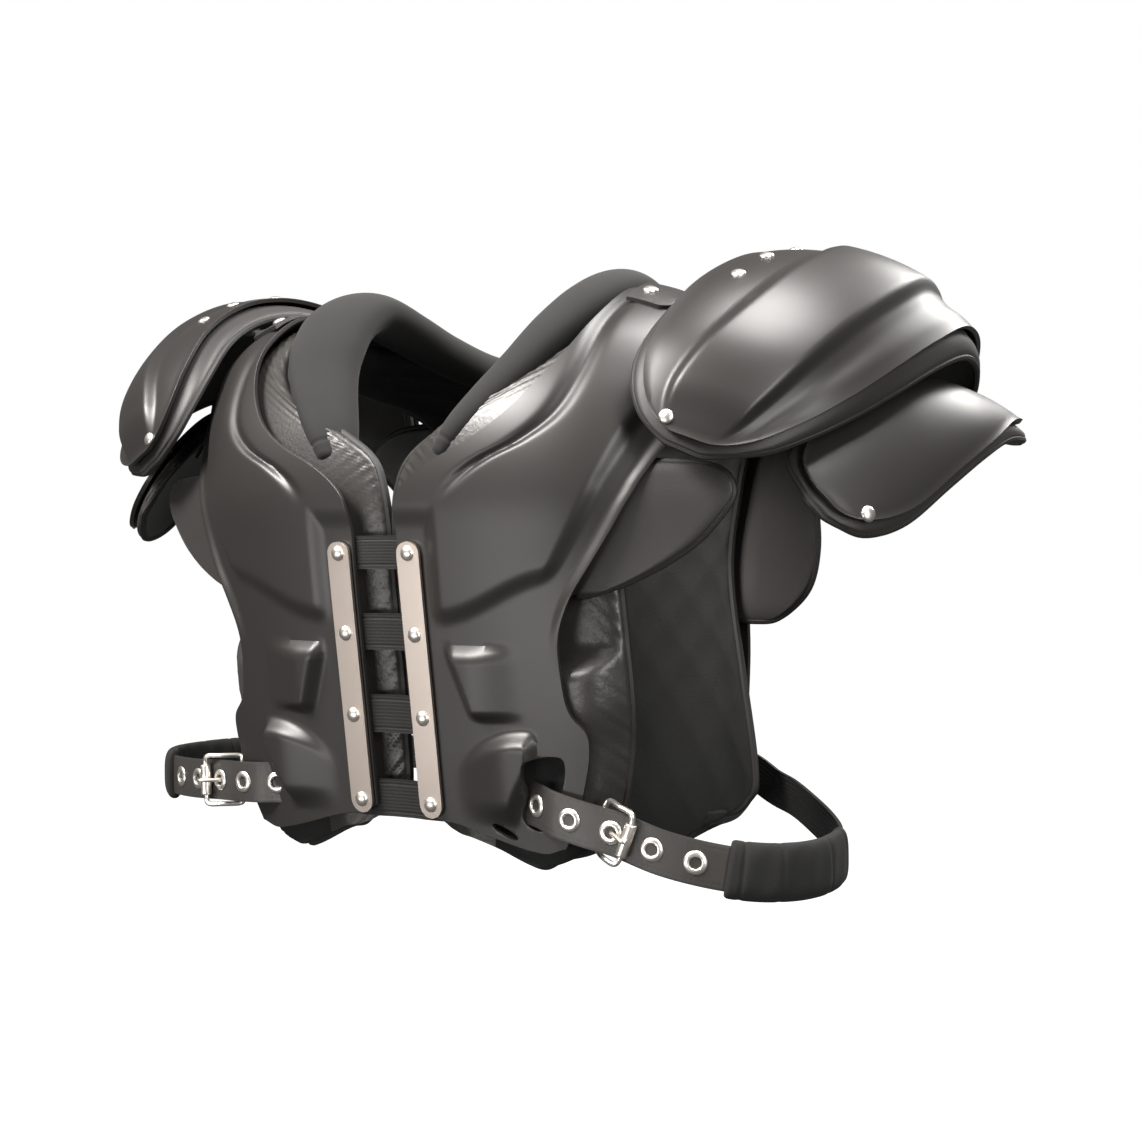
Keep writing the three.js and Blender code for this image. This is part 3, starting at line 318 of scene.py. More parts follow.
def liner_surface(a, b, c):
    """Point of the liner at row share a, width share b and thickness share c: the torso sunk by
    a depth eased to make room for belt and flaps, rounded over at the edges by a quarter
    circle, puckered by sine waves that die away from the seam, and quilted underneath."""
    row = along(liner_rows, a)
    width = (row[..., 2] - row[..., 1]) * plate_reach
    x = row[..., 1] * plate_reach + width * b
    s = hemmed(row[..., 0], b) + back_drop * ease(row[..., 0], 0.9, 1) * (1 - ease(b, 0.25, 0.95))
    out = x / plate_reach
    middle = 1 - ease(out, 0, 0.31)
    flank = ease(b, 0.78, 1)
    chest_tuck = ease(out, 0.44, 0.54) * band(s, 0.135, 0.285, 0.02)
    back_tuck = 0.84 * ease(out, 0.36, 0.46) * band(s, 0.71, 0.935, 0.02)
    pocket = (flap_sink + flap_thick + 2) * (chest_tuck + back_tuck)
    belt_room = 3.6 * (1 - ease(s, 0.07, 0.1)) * ease(out, 0.225, 0.35)
    top = liner_gap + belt_room + 10 * middle**1.5 + np.maximum(12 * flank**2, pocket)
    low = liner_thick + 2 - (liner_thick - liner_edge - 10) * middle**2
    deep = np.maximum(low + 3 * flank, top + liner_edge)
    seam = np.minimum(np.minimum(b, 1 - b) * width, np.minimum(a, 1 - a) * 25 * 32)
    round_off = np.sqrt(1 - (1 - np.clip(seam / 9, 0, 1)) ** 2)
    core = (top + deep) / 2
    half = (deep - top) / 2 * (0.25 + 0.75 * round_off)
    walk = s * line_length + x
    pucker = (1.0 * np.sin(walk * 0.95) + 0.7 * np.sin(walk * 0.61 + 1)) * np.exp(-seam / 9)
    pucker = pucker * ease(np.minimum(a, 1 - a), 0.01, 0.05)
    quilt = np.abs(np.sin((s * line_length + x) / 11) * np.sin((s * line_length - x) / 11)) ** 0.6
    lift = core + half * (1 - 2 * c) - pucker * round_off * c
    return torso(s, x, -(lift - 1.8 * quilt * (1 - c) * round_off))


def ringed(points):
    """Points and quads of a tube of rings, closed at both ends by flat strips."""
    n, m = points.shape[:2]
    grid = np.arange(n * m).reshape(n, m)
    after = np.roll(grid, -1, 1)
    walls = np.stack([grid[:-1], grid[1:], after[1:], after[:-1]], -1).reshape(-1, 4)
    k = np.arange(m // 2 - 1)
    lid = np.stack([k, k + 1, m - 2 - k, m - 1 - k], -1)
    return points.reshape(-1, 3), np.concatenate([walls, lid, grid[-1, 0] + lid[:, ::-1]])


def looped(points):
    """Points and quads of rings whose last one joins the first."""
    n, m = points.shape[:2]
    grid = np.arange(n * m).reshape(n, m)
    after = np.roll(grid, -1, 1)
    quads = np.stack([grid, np.roll(grid, -1, 0), np.roll(after, -1, 0), after], -1)
    return points.reshape(-1, 3), quads.reshape(-1, 4)


def tube(path, facing, radius, sides=10, closed=True):
    """Points and quads of a round cord carried along a path: rings in the plane of the facing
    direction and of its cross with the path's tangent."""
    if closed:
        ahead = np.roll(path, -1, 0) - np.roll(path, 1, 0)
    else:
        ahead = np.gradient(path, axis=0)
    ahead = ahead / np.linalg.norm(ahead, axis=1, keepdims=True)
    across = np.cross(ahead, facing)
    across = across / np.linalg.norm(across, axis=1, keepdims=True)
    up = np.cross(across, ahead)
    turn = np.linspace(0, 2 * np.pi, sides, endpoint=False)
    rings = path[:, None] + radius * (np.cos(turn)[None, :, None] * across[:, None]
                                      + np.sin(turn)[None, :, None] * up[:, None])
    return looped(rings) if closed else ringed(rings)


def outline(surface, lift, n, m):
    """Closed path round the edge of a surface of (u, v, lift) and the facing along the lift."""
    u, v = close_ends(n, 0.2), close_ends(m, 0.2)
    us = np.concatenate([u[:-1], np.full(m - 1, 1.0), u[:0:-1], np.full(m - 1, 0.0)])
    vs = np.concatenate([np.full(n - 1, 0.0), v[:-1], np.full(n - 1, 1.0), v[:0:-1]])
    path = surface(us, vs, lift)
    facing = surface(us, vs, lift + 1) - path
    return path, facing


def relax(path, times=4):
    """Rounds a closed path: each point moves to the mean of itself and its neighbours."""
    for _ in range(times):
        path = 0.5 * path + 0.25 * (np.roll(path, 1, 0) + np.roll(path, -1, 0))
    return path


satin = finish("liner_satin", (0.032, 0.03, 0.028), 0.36, size=500, depth=0.15, mottle=0.08)
# Dark quilted mesh for the liner's inside, also put on the satin behind the belt window as painted shade.
mesh_and_window_shade = finish("liner_mesh_and_window_shade", (0.006, 0.006, 0.006), 0.85, size=700, depth=0.3)
binding = finish("edge_binding", (0.013, 0.012, 0.0115), 0.6, size=900, depth=0.15)
a, b = np.meshgrid(close_ends(330, 0.12), close_ends(64, 0.5), indexing="ij")
place = liner_surface(a, b, 1.0)[:-1, :-1]
# Painted shade: the liner's top faces behind the belt window and the small slot get the dark mesh
# material.
window_shade_zone = (place[..., 1] < -40) & (place[..., 0] > 62) & (place[..., 0] < 121)
painted_window_shade = (window_shade_zone & (place[..., 2] < -263)).ravel()
for hand, side in hands:
    lining = slab(liner_surface(a, b, 1.0), liner_surface(a, b, 0.0))
    count = (a.shape[0] - 1) * (a.shape[1] - 1)
    inside = np.zeros(len(lining[1]))
    inside[count:2 * count] = 1
    # Top faces in the painted shade behind the window take the dark material; the rest stay satin.
    inside[:count] = painted_window_shade
    liner = piece(f"liner_pad_{hand}", lining, (satin, mesh_and_window_shade), [f"liner_{hand}"],
                  side, 80, inside)
    edge, facing = outline(liner_surface, 0.5, 420, 90)
    piece(f"liner_binding_{hand}", tube(relax(edge), facing, 2.6, 8), binding, side=side)

# Collar roll: soft knit over a foam core, round the neck hole and open at the throat, where
# each end is closed by a stitched hem.
collar_width, collar_height = 23.0, 15.0
collar_half = np.array([
    (0.276, 0.2, 0.6, 0.5), (0.3, 0.24, 0.75, 0.72), (0.335, 0.31, 0.9, 0.86),
    (0.377, 0.39, 0.9, 0.95), (0.418, 0.44, 0.7, 1.0), (0.455, 0.475, 0.4, 1.0),
    (0.503, 0.495, 0.05, 0.97), (0.55, 0.475, 0.5, 0.93), (0.59, 0.42, 1.0, 0.9),
    (0.632, 0.33, 1.2, 0.86), (0.668, 0.2, 1.05, 0.84), (0.69, 0.08, 0.85, 0.84)])
collar_rows = np.concatenate([collar_half, collar_half[::-1] * (1, -1, 1, 1)])


def collar_centre(t):
    """Middle of the roll at share t: torso point at the row's place, sunk below the surface."""
    row = along(collar_rows, t)
    return torso(row[..., 0], row[..., 1] * plate_reach, -row[..., 2] * liner_thick)


def collar_surface(t, turn):
    """Oval ring round the middle line, its axes inward and upward, drawn in at both ends."""
    row = along(collar_rows, t)
    centre = collar_centre(t)
    ahead = collar_centre(t + 0.004) - collar_centre(t - 0.004)
    ahead = ahead / np.linalg.norm(ahead, axis=-1, keepdims=True)
    inward = np.stack([-centre[..., 0], -centre[..., 1], 0 * t], -1)
    inward = inward - ahead * (inward * ahead).sum(-1, keepdims=True)
    inward = inward / np.linalg.norm(inward, axis=-1, keepdims=True)
    upward = np.cross(ahead, inward)
    from_end = np.minimum(t, 1 - t)
    end = 0.6 + 0.4 * np.sqrt(np.clip(1 - (1 - np.clip(from_end / 0.012, 0, 1)) ** 2, 0, 1))
    hem = 0.8 * np.exp(-(((from_end - 0.028) / 0.0022) ** 2))
    size = row[..., 3] * end
    wide = collar_width * size - hem
    tall = collar_height * size - hem
    return (centre + inward * (np.cos(turn) * wide)[..., None]
            + upward * (np.sin(turn) * tall)[..., None])


knit = finish("neoprene_knit", (0.007, 0.0065, 0.006), 0.92, size=1800, depth=0.12, sheen=0.03)
t, turn = np.meshgrid(close_ends(360, 0.4), np.linspace(0, 2 * np.pi, 56, endpoint=False), indexing="ij")
t = 0.5 + (t - 0.5) * 0.997
collar = piece("collar", ringed(collar_surface(t, turn)), knit, ["collar_roll"],
               sharp=70)

# Closing straps: woven elastic across the middle, four in front and three behind, their ends
# under the bars.
strap_width, strap_thick, strap_reach, bar_from_middle = 22.0, 1.6, 33.0, 26.0
front_places = (0.036, 0.0905, 0.145, 0.199)
back_places = ((0.82, 1.4), (0.88, 0.75), (0.94, 0.45))
elastic = finish("woven_elastic", (0.006, 0.0056, 0.0056), 0.65, size=1500, depth=0.2)


def strap_surface(a, b, c, at, sink):
    """Band across the middle on the torso surface, dipped between the plates; fine ribs run
    along it."""
    x = (2 * a - 1) * strap_reach
    dip = sink + 1.2 * (1 - ease(np.abs(x), 6, 20))
    rib = 0.07 * np.cos(b * 22 * np.pi) - 0.3 * np.exp(-((np.minimum(b, 1 - b) - 0.12) / 0.02) ** 2)
    return torso(at + (b - 0.5) * strap_width / line_length, x, -dip - strap_thick * (1 - c) + rib * c)


a, b = np.meshgrid(np.linspace(0, 1, 22), np.linspace(0, 1, 45), indexing="ij")
straps = [("front", k + 1, at, 0.3) for k, at in enumerate(front_places)]
straps += [("back", k + 1, at, sink) for k, (at, sink) in enumerate(back_places)]
for face, number, at, sink in straps:
    band_shape = slab(strap_surface(a, b, 1.0, at, sink), strap_surface(a, b, 0.0, at, sink))
    strap = piece(f"{face}_closing_strap_{number}", band_shape, elastic,
                  [f"{face}_strap_{number}"])

# Closing bars: flat satin metal bars with round ends, each riveted through the plate and the
# straps' ends.
bar_width, bar_thick, rivet_radius, rivet_rise, low_rise = 16.0, 2.0, 4.6, 2.6, 2.2
bar_metal = finish("bar_metal", (0.56, 0.49, 0.44), 0.38, 1.0, size=1200, depth=0.01, mottle=0.08)
nickel = finish("nickel", (0.8, 0.76, 0.71), 0.36, 1.0, size=300, depth=0.01, mottle=0.04)


def bar_surface(a, b, c, middle, run):
    """Bar laid on the torso: its half width at y along it is 8, then the circle of the end."""
    y = a * (run + 7.97)
    over = np.clip((np.abs(y) - run) / 8, 0, 0.9999)
    half = bar_width / 2 * np.sqrt(1 - over**2)
    lift = shell_wall + 0.8 + bar_thick * c
    return torso(middle + y / line_length, bar_from_middle + (2 * b - 1) * half, lift)


def dome(at, facing, radius, rise, sides=24):
    """Rivet head: rings of an ellipse turned about the facing direction, on a thin flange."""
    facing = facing / np.linalg.norm(facing)
    first = np.cross(facing, (0.3, 0.2, 1.0))
    first = first / np.linalg.norm(first)
    second = np.cross(facing, first)
    lean = np.concatenate([[0.02], np.linspace(0.15, np.pi / 2, 8)])
    out = np.concatenate([radius * np.sin(lean), [radius, 0.02]])
    up = np.concatenate([rise * np.cos(lean), [-0.6, -0.6]])
    turn = np.linspace(0, 2 * np.pi, sides, endpoint=False)
    ring = first * np.cos(turn)[:, None] + second * np.sin(turn)[:, None]
    points = at + out[:, None, None] * ring + up[:, None, None] * facing
    grid = np.arange(len(out) * sides).reshape(len(out), sides)
    after = np.roll(grid, -1, 1)
    quads = np.stack([grid[:-1], grid[1:], after[1:], after[:-1]], -1).reshape(-1, 4)
    k = np.arange(sides // 2 - 1)
    cap = np.stack([k, k + 1, sides - 2 - k, sides - 1 - k], -1)
    return points.reshape(-1, 3), np.concatenate([quads, cap[:, ::-1], grid[-1, 0] + cap])


def together(shapes):
    """One shape of several: their points in a row, the quads' numbers moved on."""
    starts = np.cumsum([0] + [len(points) for points, _ in shapes[:-1]])
    quads = [quads + start for (_, quads), start in zip(shapes, starts)]
    return np.concatenate([points for points, _ in shapes]), np.concatenate(quads)


a, b = np.meshgrid(2 * close_ends(90, 0.75) - 1, np.linspace(0, 1, 12), indexing="ij")
for face, places in (("front", front_places), ("back", [at for at, _ in back_places])):
    middle, run = (places[0] + places[-1]) / 2, (places[-1] - places[0]) * line_length / 2
    plate = slab(bar_surface(a, b, 1.0, middle, run), bar_surface(a, b, 0.0, middle, run))
    heads = []
    for at in places:
        foot, over = (torso(at, bar_from_middle, shell_wall + lift) for lift in (2.7, 4.0))
        heads.append(dome(foot, over - foot, rivet_radius, rivet_rise))
    for hand, side in hands:
        bar = piece(f"{face}_closing_bar_{hand}", plate, bar_metal, [f"{face}_bar_{hand}"], side)
        soften(bar, 0.45)
        piece(f"{face}_bar_rivets_{hand}", together(heads), nickel, side=side)

# Shoulder plates (epaulets): a moulded plate on top of a thin pad whose bound edge shows all
# round, riveted through at its front corner and along its inner edge.
pad_thick, plate_seat = 7.0, 1.9
# Rows from front end to back end: inner edge point, then outer edge point, each as out / reach,
# fore / chest depth and down / plate drop; last the crown / side drop.
epaulet_rows = np.array([
    (0.93, 0.921, 0.276, 1.06, 0.863, 0.312, 0.04), (0.86, 0.918, 0.233, 1.19, 0.753, 0.306, 0.25),
    (0.82, 0.87, 0.173, 1.28, 0.616, 0.279, 0.6), (0.8125, 0.781, 0.112, 1.36, 0.438, 0.239, 0.95),
    (0.835, 0.63, 0.045, 1.42, 0.219, 0.191, 1.08), (0.86, 0.452, 0, 1.455, -0.027, 0.145, 1.12),
    (0.88, 0.24, -0.03, 1.47, -0.26, 0.115, 1.13), (0.885, 0, -0.042, 1.455, -0.452, 0.115, 1.08),
    (0.875, -0.247, -0.03, 1.415, -0.63, 0.133, 0.98), (0.86, -0.479, 0.012, 1.35, -0.795, 0.17, 0.8),
    (0.86, -0.699, 0.079, 1.25, -0.932, 0.218, 0.65), (0.9, -0.87, 0.185, 1.13, -1.0, 0.288, 0.28),
    (0.97, -0.95, 0.275, 1.05, -0.995, 0.315, 0.04)])
epaulet_margin = (0.045, 0.075)


def lofted(rows):
    """Surface of (u, v, lift) through rows of two edge points and a crown: the chord between
    the edges raised by crown (4v(1 - v))^0.7 square to it, then by lift along the normal."""

    def edges(u):
        row = along(rows, u)
        scale = np.array([plate_reach, -chest_depth, -plate_drop])
        return row[..., :3] * scale, row[..., 3:6] * scale, row[..., 6:] * side_drop

    def skin(u, v):
        inner, outer, crown = edges(u)
        back = np.minimum(u + 0.02, 1)
        last, first = edges(back), edges(back - 0.02)
        ahead = (last[0] + last[1] - first[0] - first[1]) / 2
        out = np.cross(outer - inner, ahead)
        out = out / np.linalg.norm(out, axis=-1, keepdims=True)
        arc = np.maximum(0, 4 * v * (1 - v))[..., None] ** 0.7
        return inner + (outer - inner) * v[..., None] + out * crown * arc

    def lifted(u, v, lift):
        u, v, lift = np.broadcast_arrays(*(np.asarray(k, float) for k in (u, v, lift)))

        def near(du, dv):
            return skin(np.clip(u + du, 0, 1), np.clip(np.clip(v, 0, 1) + dv, 0.001, 0.999))

        away = np.cross(near(0, 0.04) - near(0, -0.04), near(0.03, 0) - near(-0.03, 0))
        away = away / np.linalg.norm(away, axis=-1, keepdims=True)
        return skin(u, v) + away * lift[..., None]

    return lifted


def corner_round(a, b, power=4.0):
    """Square shares (a, b) moved onto a super-ellipse of the given power, so that a plate's
    four corners are rounded while its grid keeps its rows."""
    p, q = 2 * a - 1, 2 * b - 1
    far = np.maximum(np.abs(p), np.abs(q)) + 1e-9
    reach = (np.abs(p / far) ** power + np.abs(q / far) ** power) ** (1 / power)
    soft = far**3
    scale = 1 - soft + soft / reach
    return (p * scale + 1) / 2, (q * scale + 1) / 2


epaulet_skin = lofted(epaulet_rows)


def epaulet_form(u, v):
    """Height of the pressed forms: a raised panel between two creases that draw together
    towards both ends, and a bell-shaped hollow under the lower one."""
    ends = band(u, 0.17, 0.83, 0.12)
    narrow = 0.1 * (1 - ease(np.minimum(u, 1 - u), 0.08, 0.36))
    panel = 5.2 * ease(v, 0.31 - narrow, 0.38 - narrow) * (1 - ease(v, 0.68, 0.75)) * ends
    return panel - 1.6 * np.exp(-(((v - 0.8) / 0.05) ** 2)) * ends


def epaulet_plate(a, b, c):
    """Point of the plate, inside the pad's edge by the margin and seated above it."""
    end, flank = epaulet_margin
    p, q = corner_round(a, b, 5)
    u, v = end + (1 - 2 * end) * p, flank + (1 - 2 * flank) * q
    edge = 1 - np.minimum(np.minimum(a, 1 - a) / 0.03, np.minimum(b, 1 - b) / 0.05).clip(0, 1)
    return epaulet_skin(u, v, plate_seat + shell_wall * c + epaulet_form(u, v) + 0.8 * edge**2)


def epaulet_pad(a, b, c):
    """Point of the pad: as deep as pad_thick, rounded over at its edge."""
    u, v = corner_round(a, b, 7)
    seam = np.minimum(np.minimum(a, 1 - a) / 0.03, np.minimum(b, 1 - b) / 0.05).clip(0, 1)
    full = np.sqrt(1 - (1 - seam) ** 2) * 0.75 + 0.25
    middle = (epaulet_form(u, v) - pad_thick) / 2
    half = (epaulet_form(u, v) + pad_thick) / 2 * full
    return epaulet_skin(u, v, middle + half * (2 * c - 1))


padding = finish("pad_cloth", (0.02, 0.018, 0.017), 0.5, size=1500, depth=0.12, sheen=0.05)
rivet_places = np.array([(0.083, 0.26), (0.383, 0.19), (0.46, 0.18), (0.55, 0.17)])
heads = []
for u, v in rivet_places:
    seat = plate_seat + shell_wall + epaulet_form(u, v)
    foot, over = (epaulet_skin(u, v, seat + lift) for lift in (-0.1, 1))
    heads.append(dome(foot, over - foot, 4.3, 2.0))


def guard(name, top, under, cells, cord_steps, rivets, heads):
    """Plate, pad, piping and rivet heads of one guard, on both sides of the body."""
    a, b = np.meshgrid(close_ends(cells[0], 0.5), close_ends(cells[1], 0.5), indexing="ij")
    edge, facing = outline(under, 0.5, *cord_steps)
    plate, cushion = (slab(form(a, b, 1.0), form(a, b, 0.0)) for form in (top, under))
    for hand, side in hands:
        shell = piece(f"{name}_plate_{hand}", plate, plate_plastic, [f"{name}_{hand}"], side, 35)
        soften(shell, 0.5)
        pad = piece(f"{name}_padding_{hand}", cushion, padding, [f"{name}_pad_{hand}"], side, 80)
        piece(f"{name}_piping_{hand}", tube(relax(edge), facing, 2.2, 8), binding, side=side)
        piece(f"{name}_{rivets}_{hand}", heads, nickel, side=side)


guard("epaulet", epaulet_plate, epaulet_pad, (112, 66), (150, 90), "rivets", together(heads))

# Upper-arm caps: a second plate and pad, hung under the outer edge of the epaulet.
cap_rows = np.array([
    (1.26, 0.589, 0.37, 1.31, 0.548, 0.412, 0.04), (1.18, 0.548, 0.305, 1.375, 0.425, 0.439, 0.33),
    (1.19, 0.342, 0.235, 1.435, 0.205, 0.418, 0.58), (1.22, 0.082, 0.175, 1.485, -0.068, 0.352, 0.67),
    (1.26, -0.192, 0.16, 1.515, -0.342, 0.294, 0.62), (1.25, -0.466, 0.178, 1.52, -0.603, 0.255, 0.5),
    (1.24, -0.719, 0.2, 1.51, -0.822, 0.25, 0.33), (1.26, -0.87, 0.235, 1.46, -0.973, 0.25, 0.08)])
cap_margin = (0.06, 0.09)
cap_skin = lofted(cap_rows)


def cap_plate(a, b, c):
    """Point of the cap's plate, with a turned-up rim."""
    end, flank = cap_margin
    p, q = corner_round(a, b, 4)
    u, v = end + (1 - 2 * end) * p, flank + (1 - 2 * flank) * q
    edge = 1 - np.minimum(np.minimum(a, 1 - a) / 0.04, np.minimum(b, 1 - b) / 0.06).clip(0, 1)
    return cap_skin(u, v, plate_seat + shell_wall * c + 0.8 * edge**2)


def cap_pad(a, b, c):
    """Point of the cap's pad, rounded over at its edge."""
    u, v = corner_round(a, b, 6)
    seam = np.minimum(np.minimum(a, 1 - a) / 0.04, np.minimum(b, 1 - b) / 0.06).clip(0, 1)
    full = np.sqrt(1 - (1 - seam) ** 2) * 0.75 + 0.25
    return cap_skin(u, v, -pad_thick / 2 + pad_thick / 2 * full * (2 * c - 1))


foot, over = (cap_skin(0.17, 0.82, plate_seat + shell_wall + lift) for lift in (-0.1, 1))
head = dome(foot, over - foot, rivet_radius, low_rise)
guard("cap", cap_plate, cap_pad, (86, 48), (110, 60), "rivet", head)

# Chest and back flaps: small bound pads sewn under the armhole edge of each arch. They follow
# the arch as far as flap_turn and run straighter beyond it.
flap_turn, flap_slope = 125.0, 3.16
chest_flap_rows = np.array([
    (0.168, 0.62, 0.69), (0.176, 0.595, 0.8), (0.189, 0.58, 0.91), (0.206, 0.575, 1.0),
    (0.227, 0.575, 1.06), (0.25, 0.58, 1.085), (0.275, 0.6, 1.09)])
back_flap_rows = np.array([
    (0.72, 0.68, 0.86), (0.74, 0.64, 0.94), (0.765, 0.58, 0.95), (0.79, 0.53, 0.88),
    (0.815, 0.49, 0.85), (0.845, 0.46, 0.85), (0.875, 0.46, 0.82), (0.895, 0.47, 0.72)])


def flap_fall(x):
    """Fall of the torso up to flap_turn, then a straight slope."""
    past = np.maximum(0, np.abs(x) - flap_turn)
    return round_fall(np.minimum(np.abs(x), flap_turn)) + past * flap_slope / plate_reach


def flap_surface(rows, a, b, c):
    """Point of a flap: a pad flap_thick deep, pillowed and rounded at its edge, sunk so far
    that the arch lies on it."""
    a, b = corner_round(a, b, 4)
    row = along(rows, a)
    x = (row[..., 1] + (row[..., 2] - row[..., 1]) * b) * plate_reach
    seam = np.minimum(np.minimum(a, 1 - a) / 0.1, np.minimum(b, 1 - b) / 0.1).clip(0, 1)
    full = np.sqrt(1 - (1 - seam) ** 2) * 0.6 + 0.4
    clear = 1.6 * (1 - ease(b, 0.2, 0.4))
    half = flap_thick / 2 * full
    return torso(row[..., 0], x, -flap_sink - clear - flap_thick / 2 + half * (2 * c - 1), flap_fall)


a, b = np.meshgrid(close_ends(54, 0.5), close_ends(44, 0.5), indexing="ij")
for face, rows in (("chest", chest_flap_rows), ("back", back_flap_rows)):
    body = slab(flap_surface(rows, a, b, 1.0), flap_surface(rows, a, b, 0.0))
    edge, facing = outline(lambda u, v, c: flap_surface(rows, u, v, c), 0.5, 70, 60)
    for hand, side in hands:
        flap = piece(f"{face}_flap_pad_{hand}", body, padding, [f"{face}_flap_{hand}"], side, 80)
        cord = tube(relax(edge), facing, 2.4, 8)
        piece(f"{face}_flap_piping_{hand}", cord, binding, side=side)

# Shoulder tabs and cap straps: webbing that joins each arch to its epaulet and its cap.
tab_at, tab_width, tab_thick, dome_rise, touch_gap = 0.452, 34.0, 2.5, 3.0, 0.3
webbing = finish("strap_webbing", (0.02, 0.0185, 0.0175), 0.45, size=1600, depth=0.2)


def tab_surface(a, b, c):
    """Band from the top of the arch to the underside of the epaulet's pad: a point of the arch
    eased into one of the pad."""
    across = (b - 0.5) * tab_width / line_length
    x = plate_reach * (0.66 + 0.165 * a * 1.6)
    on_arch = torso(tab_at + across, x, shell_wall + dome_rise + touch_gap + tab_thick * c)
    low = -pad_thick - touch_gap - tab_thick * (1 - c)
    under = epaulet_skin(0.45 - (b - 0.5) * 0.1, -0.1 + 0.22 * a, low)
    return on_arch + (under - on_arch) * ease(a, 0.35, 0.75)[..., None]


def cap_strap_surface(a, b, c):
    """Band from the top of the arch to the inner face of the cap's pad, through a dip."""
    s = 0.52 + (b - 0.5) * tab_width / line_length
    u = 0.5 + (b - 0.5) * 0.2
    top, low = shell_wall + touch_gap + tab_thick * c, -pad_thick - 1.8 - tab_thick * (1 - c)
    edge = torso(s, 0.99 * plate_reach, top + 1.5)
    held = cap_skin(u, 0.3, low)
    dip = (edge + held) / 2 - (0, 0, 15)
    spots = [torso(s, 0.84 * plate_reach, top), torso(s, 0.92 * plate_reach, top + 0.5), edge, dip,
             held, cap_skin(u, 0.45, low)]
    place = np.clip(a, 0, 1) * 5
    total = 0
    for k, spot in enumerate(spots):
        total = total + np.clip(1 - np.abs(place - k), 0, 1)[..., None] * spot
    return total


a, b = np.meshgrid(np.linspace(0, 1, 60), np.linspace(0, 1, 15), indexing="ij")
tab = slab(tab_surface(a, b, 1.0), tab_surface(a, b, 0.0))
strap = slab(cap_strap_surface(a, b, 1.0), cap_strap_surface(a, b, 0.0))
foot, over = (torso(tab_at, 0.7 * plate_reach, shell_wall + dome_rise + touch_gap + tab_thick + lift)
              for lift in (-0.1, 1))
head = dome(foot, over - foot, rivet_radius, low_rise)
for hand, side in hands:
    piece(f"shoulder_tab_strap_{hand}", tab, webbing, [f"shoulder_tab_{hand}"], side)
    piece(f"shoulder_tab_rivet_{hand}", head, nickel, side=side)
    piece(f"cap_hanger_{hand}", strap, webbing, [f"cap_strap_{hand}"], side)

# Side belts: flat coated webbing from its tip under the hood, out of the window, round the
# flank and into the sleeve.
belt_width, belt_thick, eyelet_pitch, belt_ahead = 25.4, 2.2, 25.4, 27.0
belt_run = belt_ahead + 5.1 * eyelet_pitch
belt_top = 0.9 * plate_drop
belt_droop = {1: 34.0, -1: 5.0}
# x: share of plate_reach; y: share of chest_depth in front or of back_depth behind; hang:
# share of the side's droop.
belt_rows = np.array([
    (0.36, 0.804, -0.1), (0.425, 0.799, -0.04), (0.49, 0.817, 0.03), (0.54, 0.842, 0.1),
    (0.585, 0.846, 0.17), (0.66, 0.833, 0.28), (0.7475, 0.8, 0.41), (0.873, 0.759, 0.67),
    (0.995, 0.692, 0.85), (1.1, 0.6, 0.96), (1.17, 0.47, 1), (1.2, 0.31, 1), (1.195, 0.14, 0.95),
    (1.15, -0.033, 0.88), (1.04, -0.274, 0.76), (0.88, -0.571, 0.62), (0.74, -0.807, 0.5),
    (0.64, -0.897, 0.4), (0.53, -0.941, 0.3), (0.42, -0.955, 0.2)])
back_climb = 8.0


def smooth_path(spots, n, closed):
    """n points on a Catmull-Rom curve through spots, closed or open."""
    spots = np.asarray(spots, float)
    count = len(spots) if closed else len(spots) - 1
    if closed:
        wide = np.vstack([spots[-1:], spots, spots[:2]])
    else:
        wide = np.vstack([2 * spots[:1] - spots[1:2], spots, 2 * spots[-1:] - spots[-2:-1]])
    return through(wide, np.linspace(0, count, n, endpoint=not closed))


def belt_route(side):
    """Gives place(run, across, out): the point at arc length run on a Catmull-Rom curve through
    the rows, moved up by across and away from the body by out. For side -1 the route is the
    right hand's, still written with x positive, because piece() mirrors it."""
    out, fore, hang = belt_rows.T
    drop = -belt_top - belt_droop[side] * hang + back_climb * ease(-fore, 0.88, 0.95)
    depth = np.where(fore > 0, chest_depth, back_depth)
    spots = np.stack([out * plate_reach, -fore * depth, drop], -1)
    line = smooth_path(spots, 3601, False)
    length = np.concatenate([[0], np.cumsum(np.linalg.norm(np.diff(line, axis=0), axis=1))])
    ahead = np.gradient(line, axis=0)
    ahead = ahead / np.linalg.norm(ahead, axis=1, keepdims=True)

    def at(values, run):
        return np.stack([np.interp(run, length, values[:, k]) for k in range(3)], -1)

    def place(run, across, out):
        run, across, out = np.broadcast_arrays(*(np.asarray(k, float) for k in (run, across, out)))
        on = at(ahead, run)
        inward = np.cross(on, (0, 0, -1.0))
        inward = inward / np.linalg.norm(inward, axis=-1, keepdims=True)
        up = np.cross(inward, on)
        up = up / np.linalg.norm(up, axis=-1, keepdims=True)
        return at(line, run) + up * across[..., None] - inward * out[..., None]

    return place


belt_cloth = finish("belt_webbing", (0.03, 0.028, 0.026), 0.42, size=1300, depth=0.12)
routes = {hand: belt_route(side) for hand, side in hands}
for hand, side in hands:
    place = routes[hand]
    a, b = np.meshgrid(np.linspace(0, 1, 220), np.linspace(0, 1, 37), indexing="ij")
    across = (b - 0.5) * belt_width
    tip = np.clip(1 - a * belt_run / 5, 0, 1)
    run = np.maximum(a * belt_run, 2.5 * tip * (2 * b - 1) ** 4)
    swell = belt_thick / 2 * (1 - 0.35 * np.abs(2 * b - 1) ** 8)
    stitch = 0.16 * np.exp(-(((np.abs(across) - 9.8) / 0.7) ** 2)) * (0.6 + 0.4 * np.cos(run * 2.1))
    body = slab(place(run, across, swell - stitch), place(run, across, -swell + stitch))
    belt = piece(f"side_belt_{hand}", body, belt_cloth, [f"belt_{hand}"], side, 45)

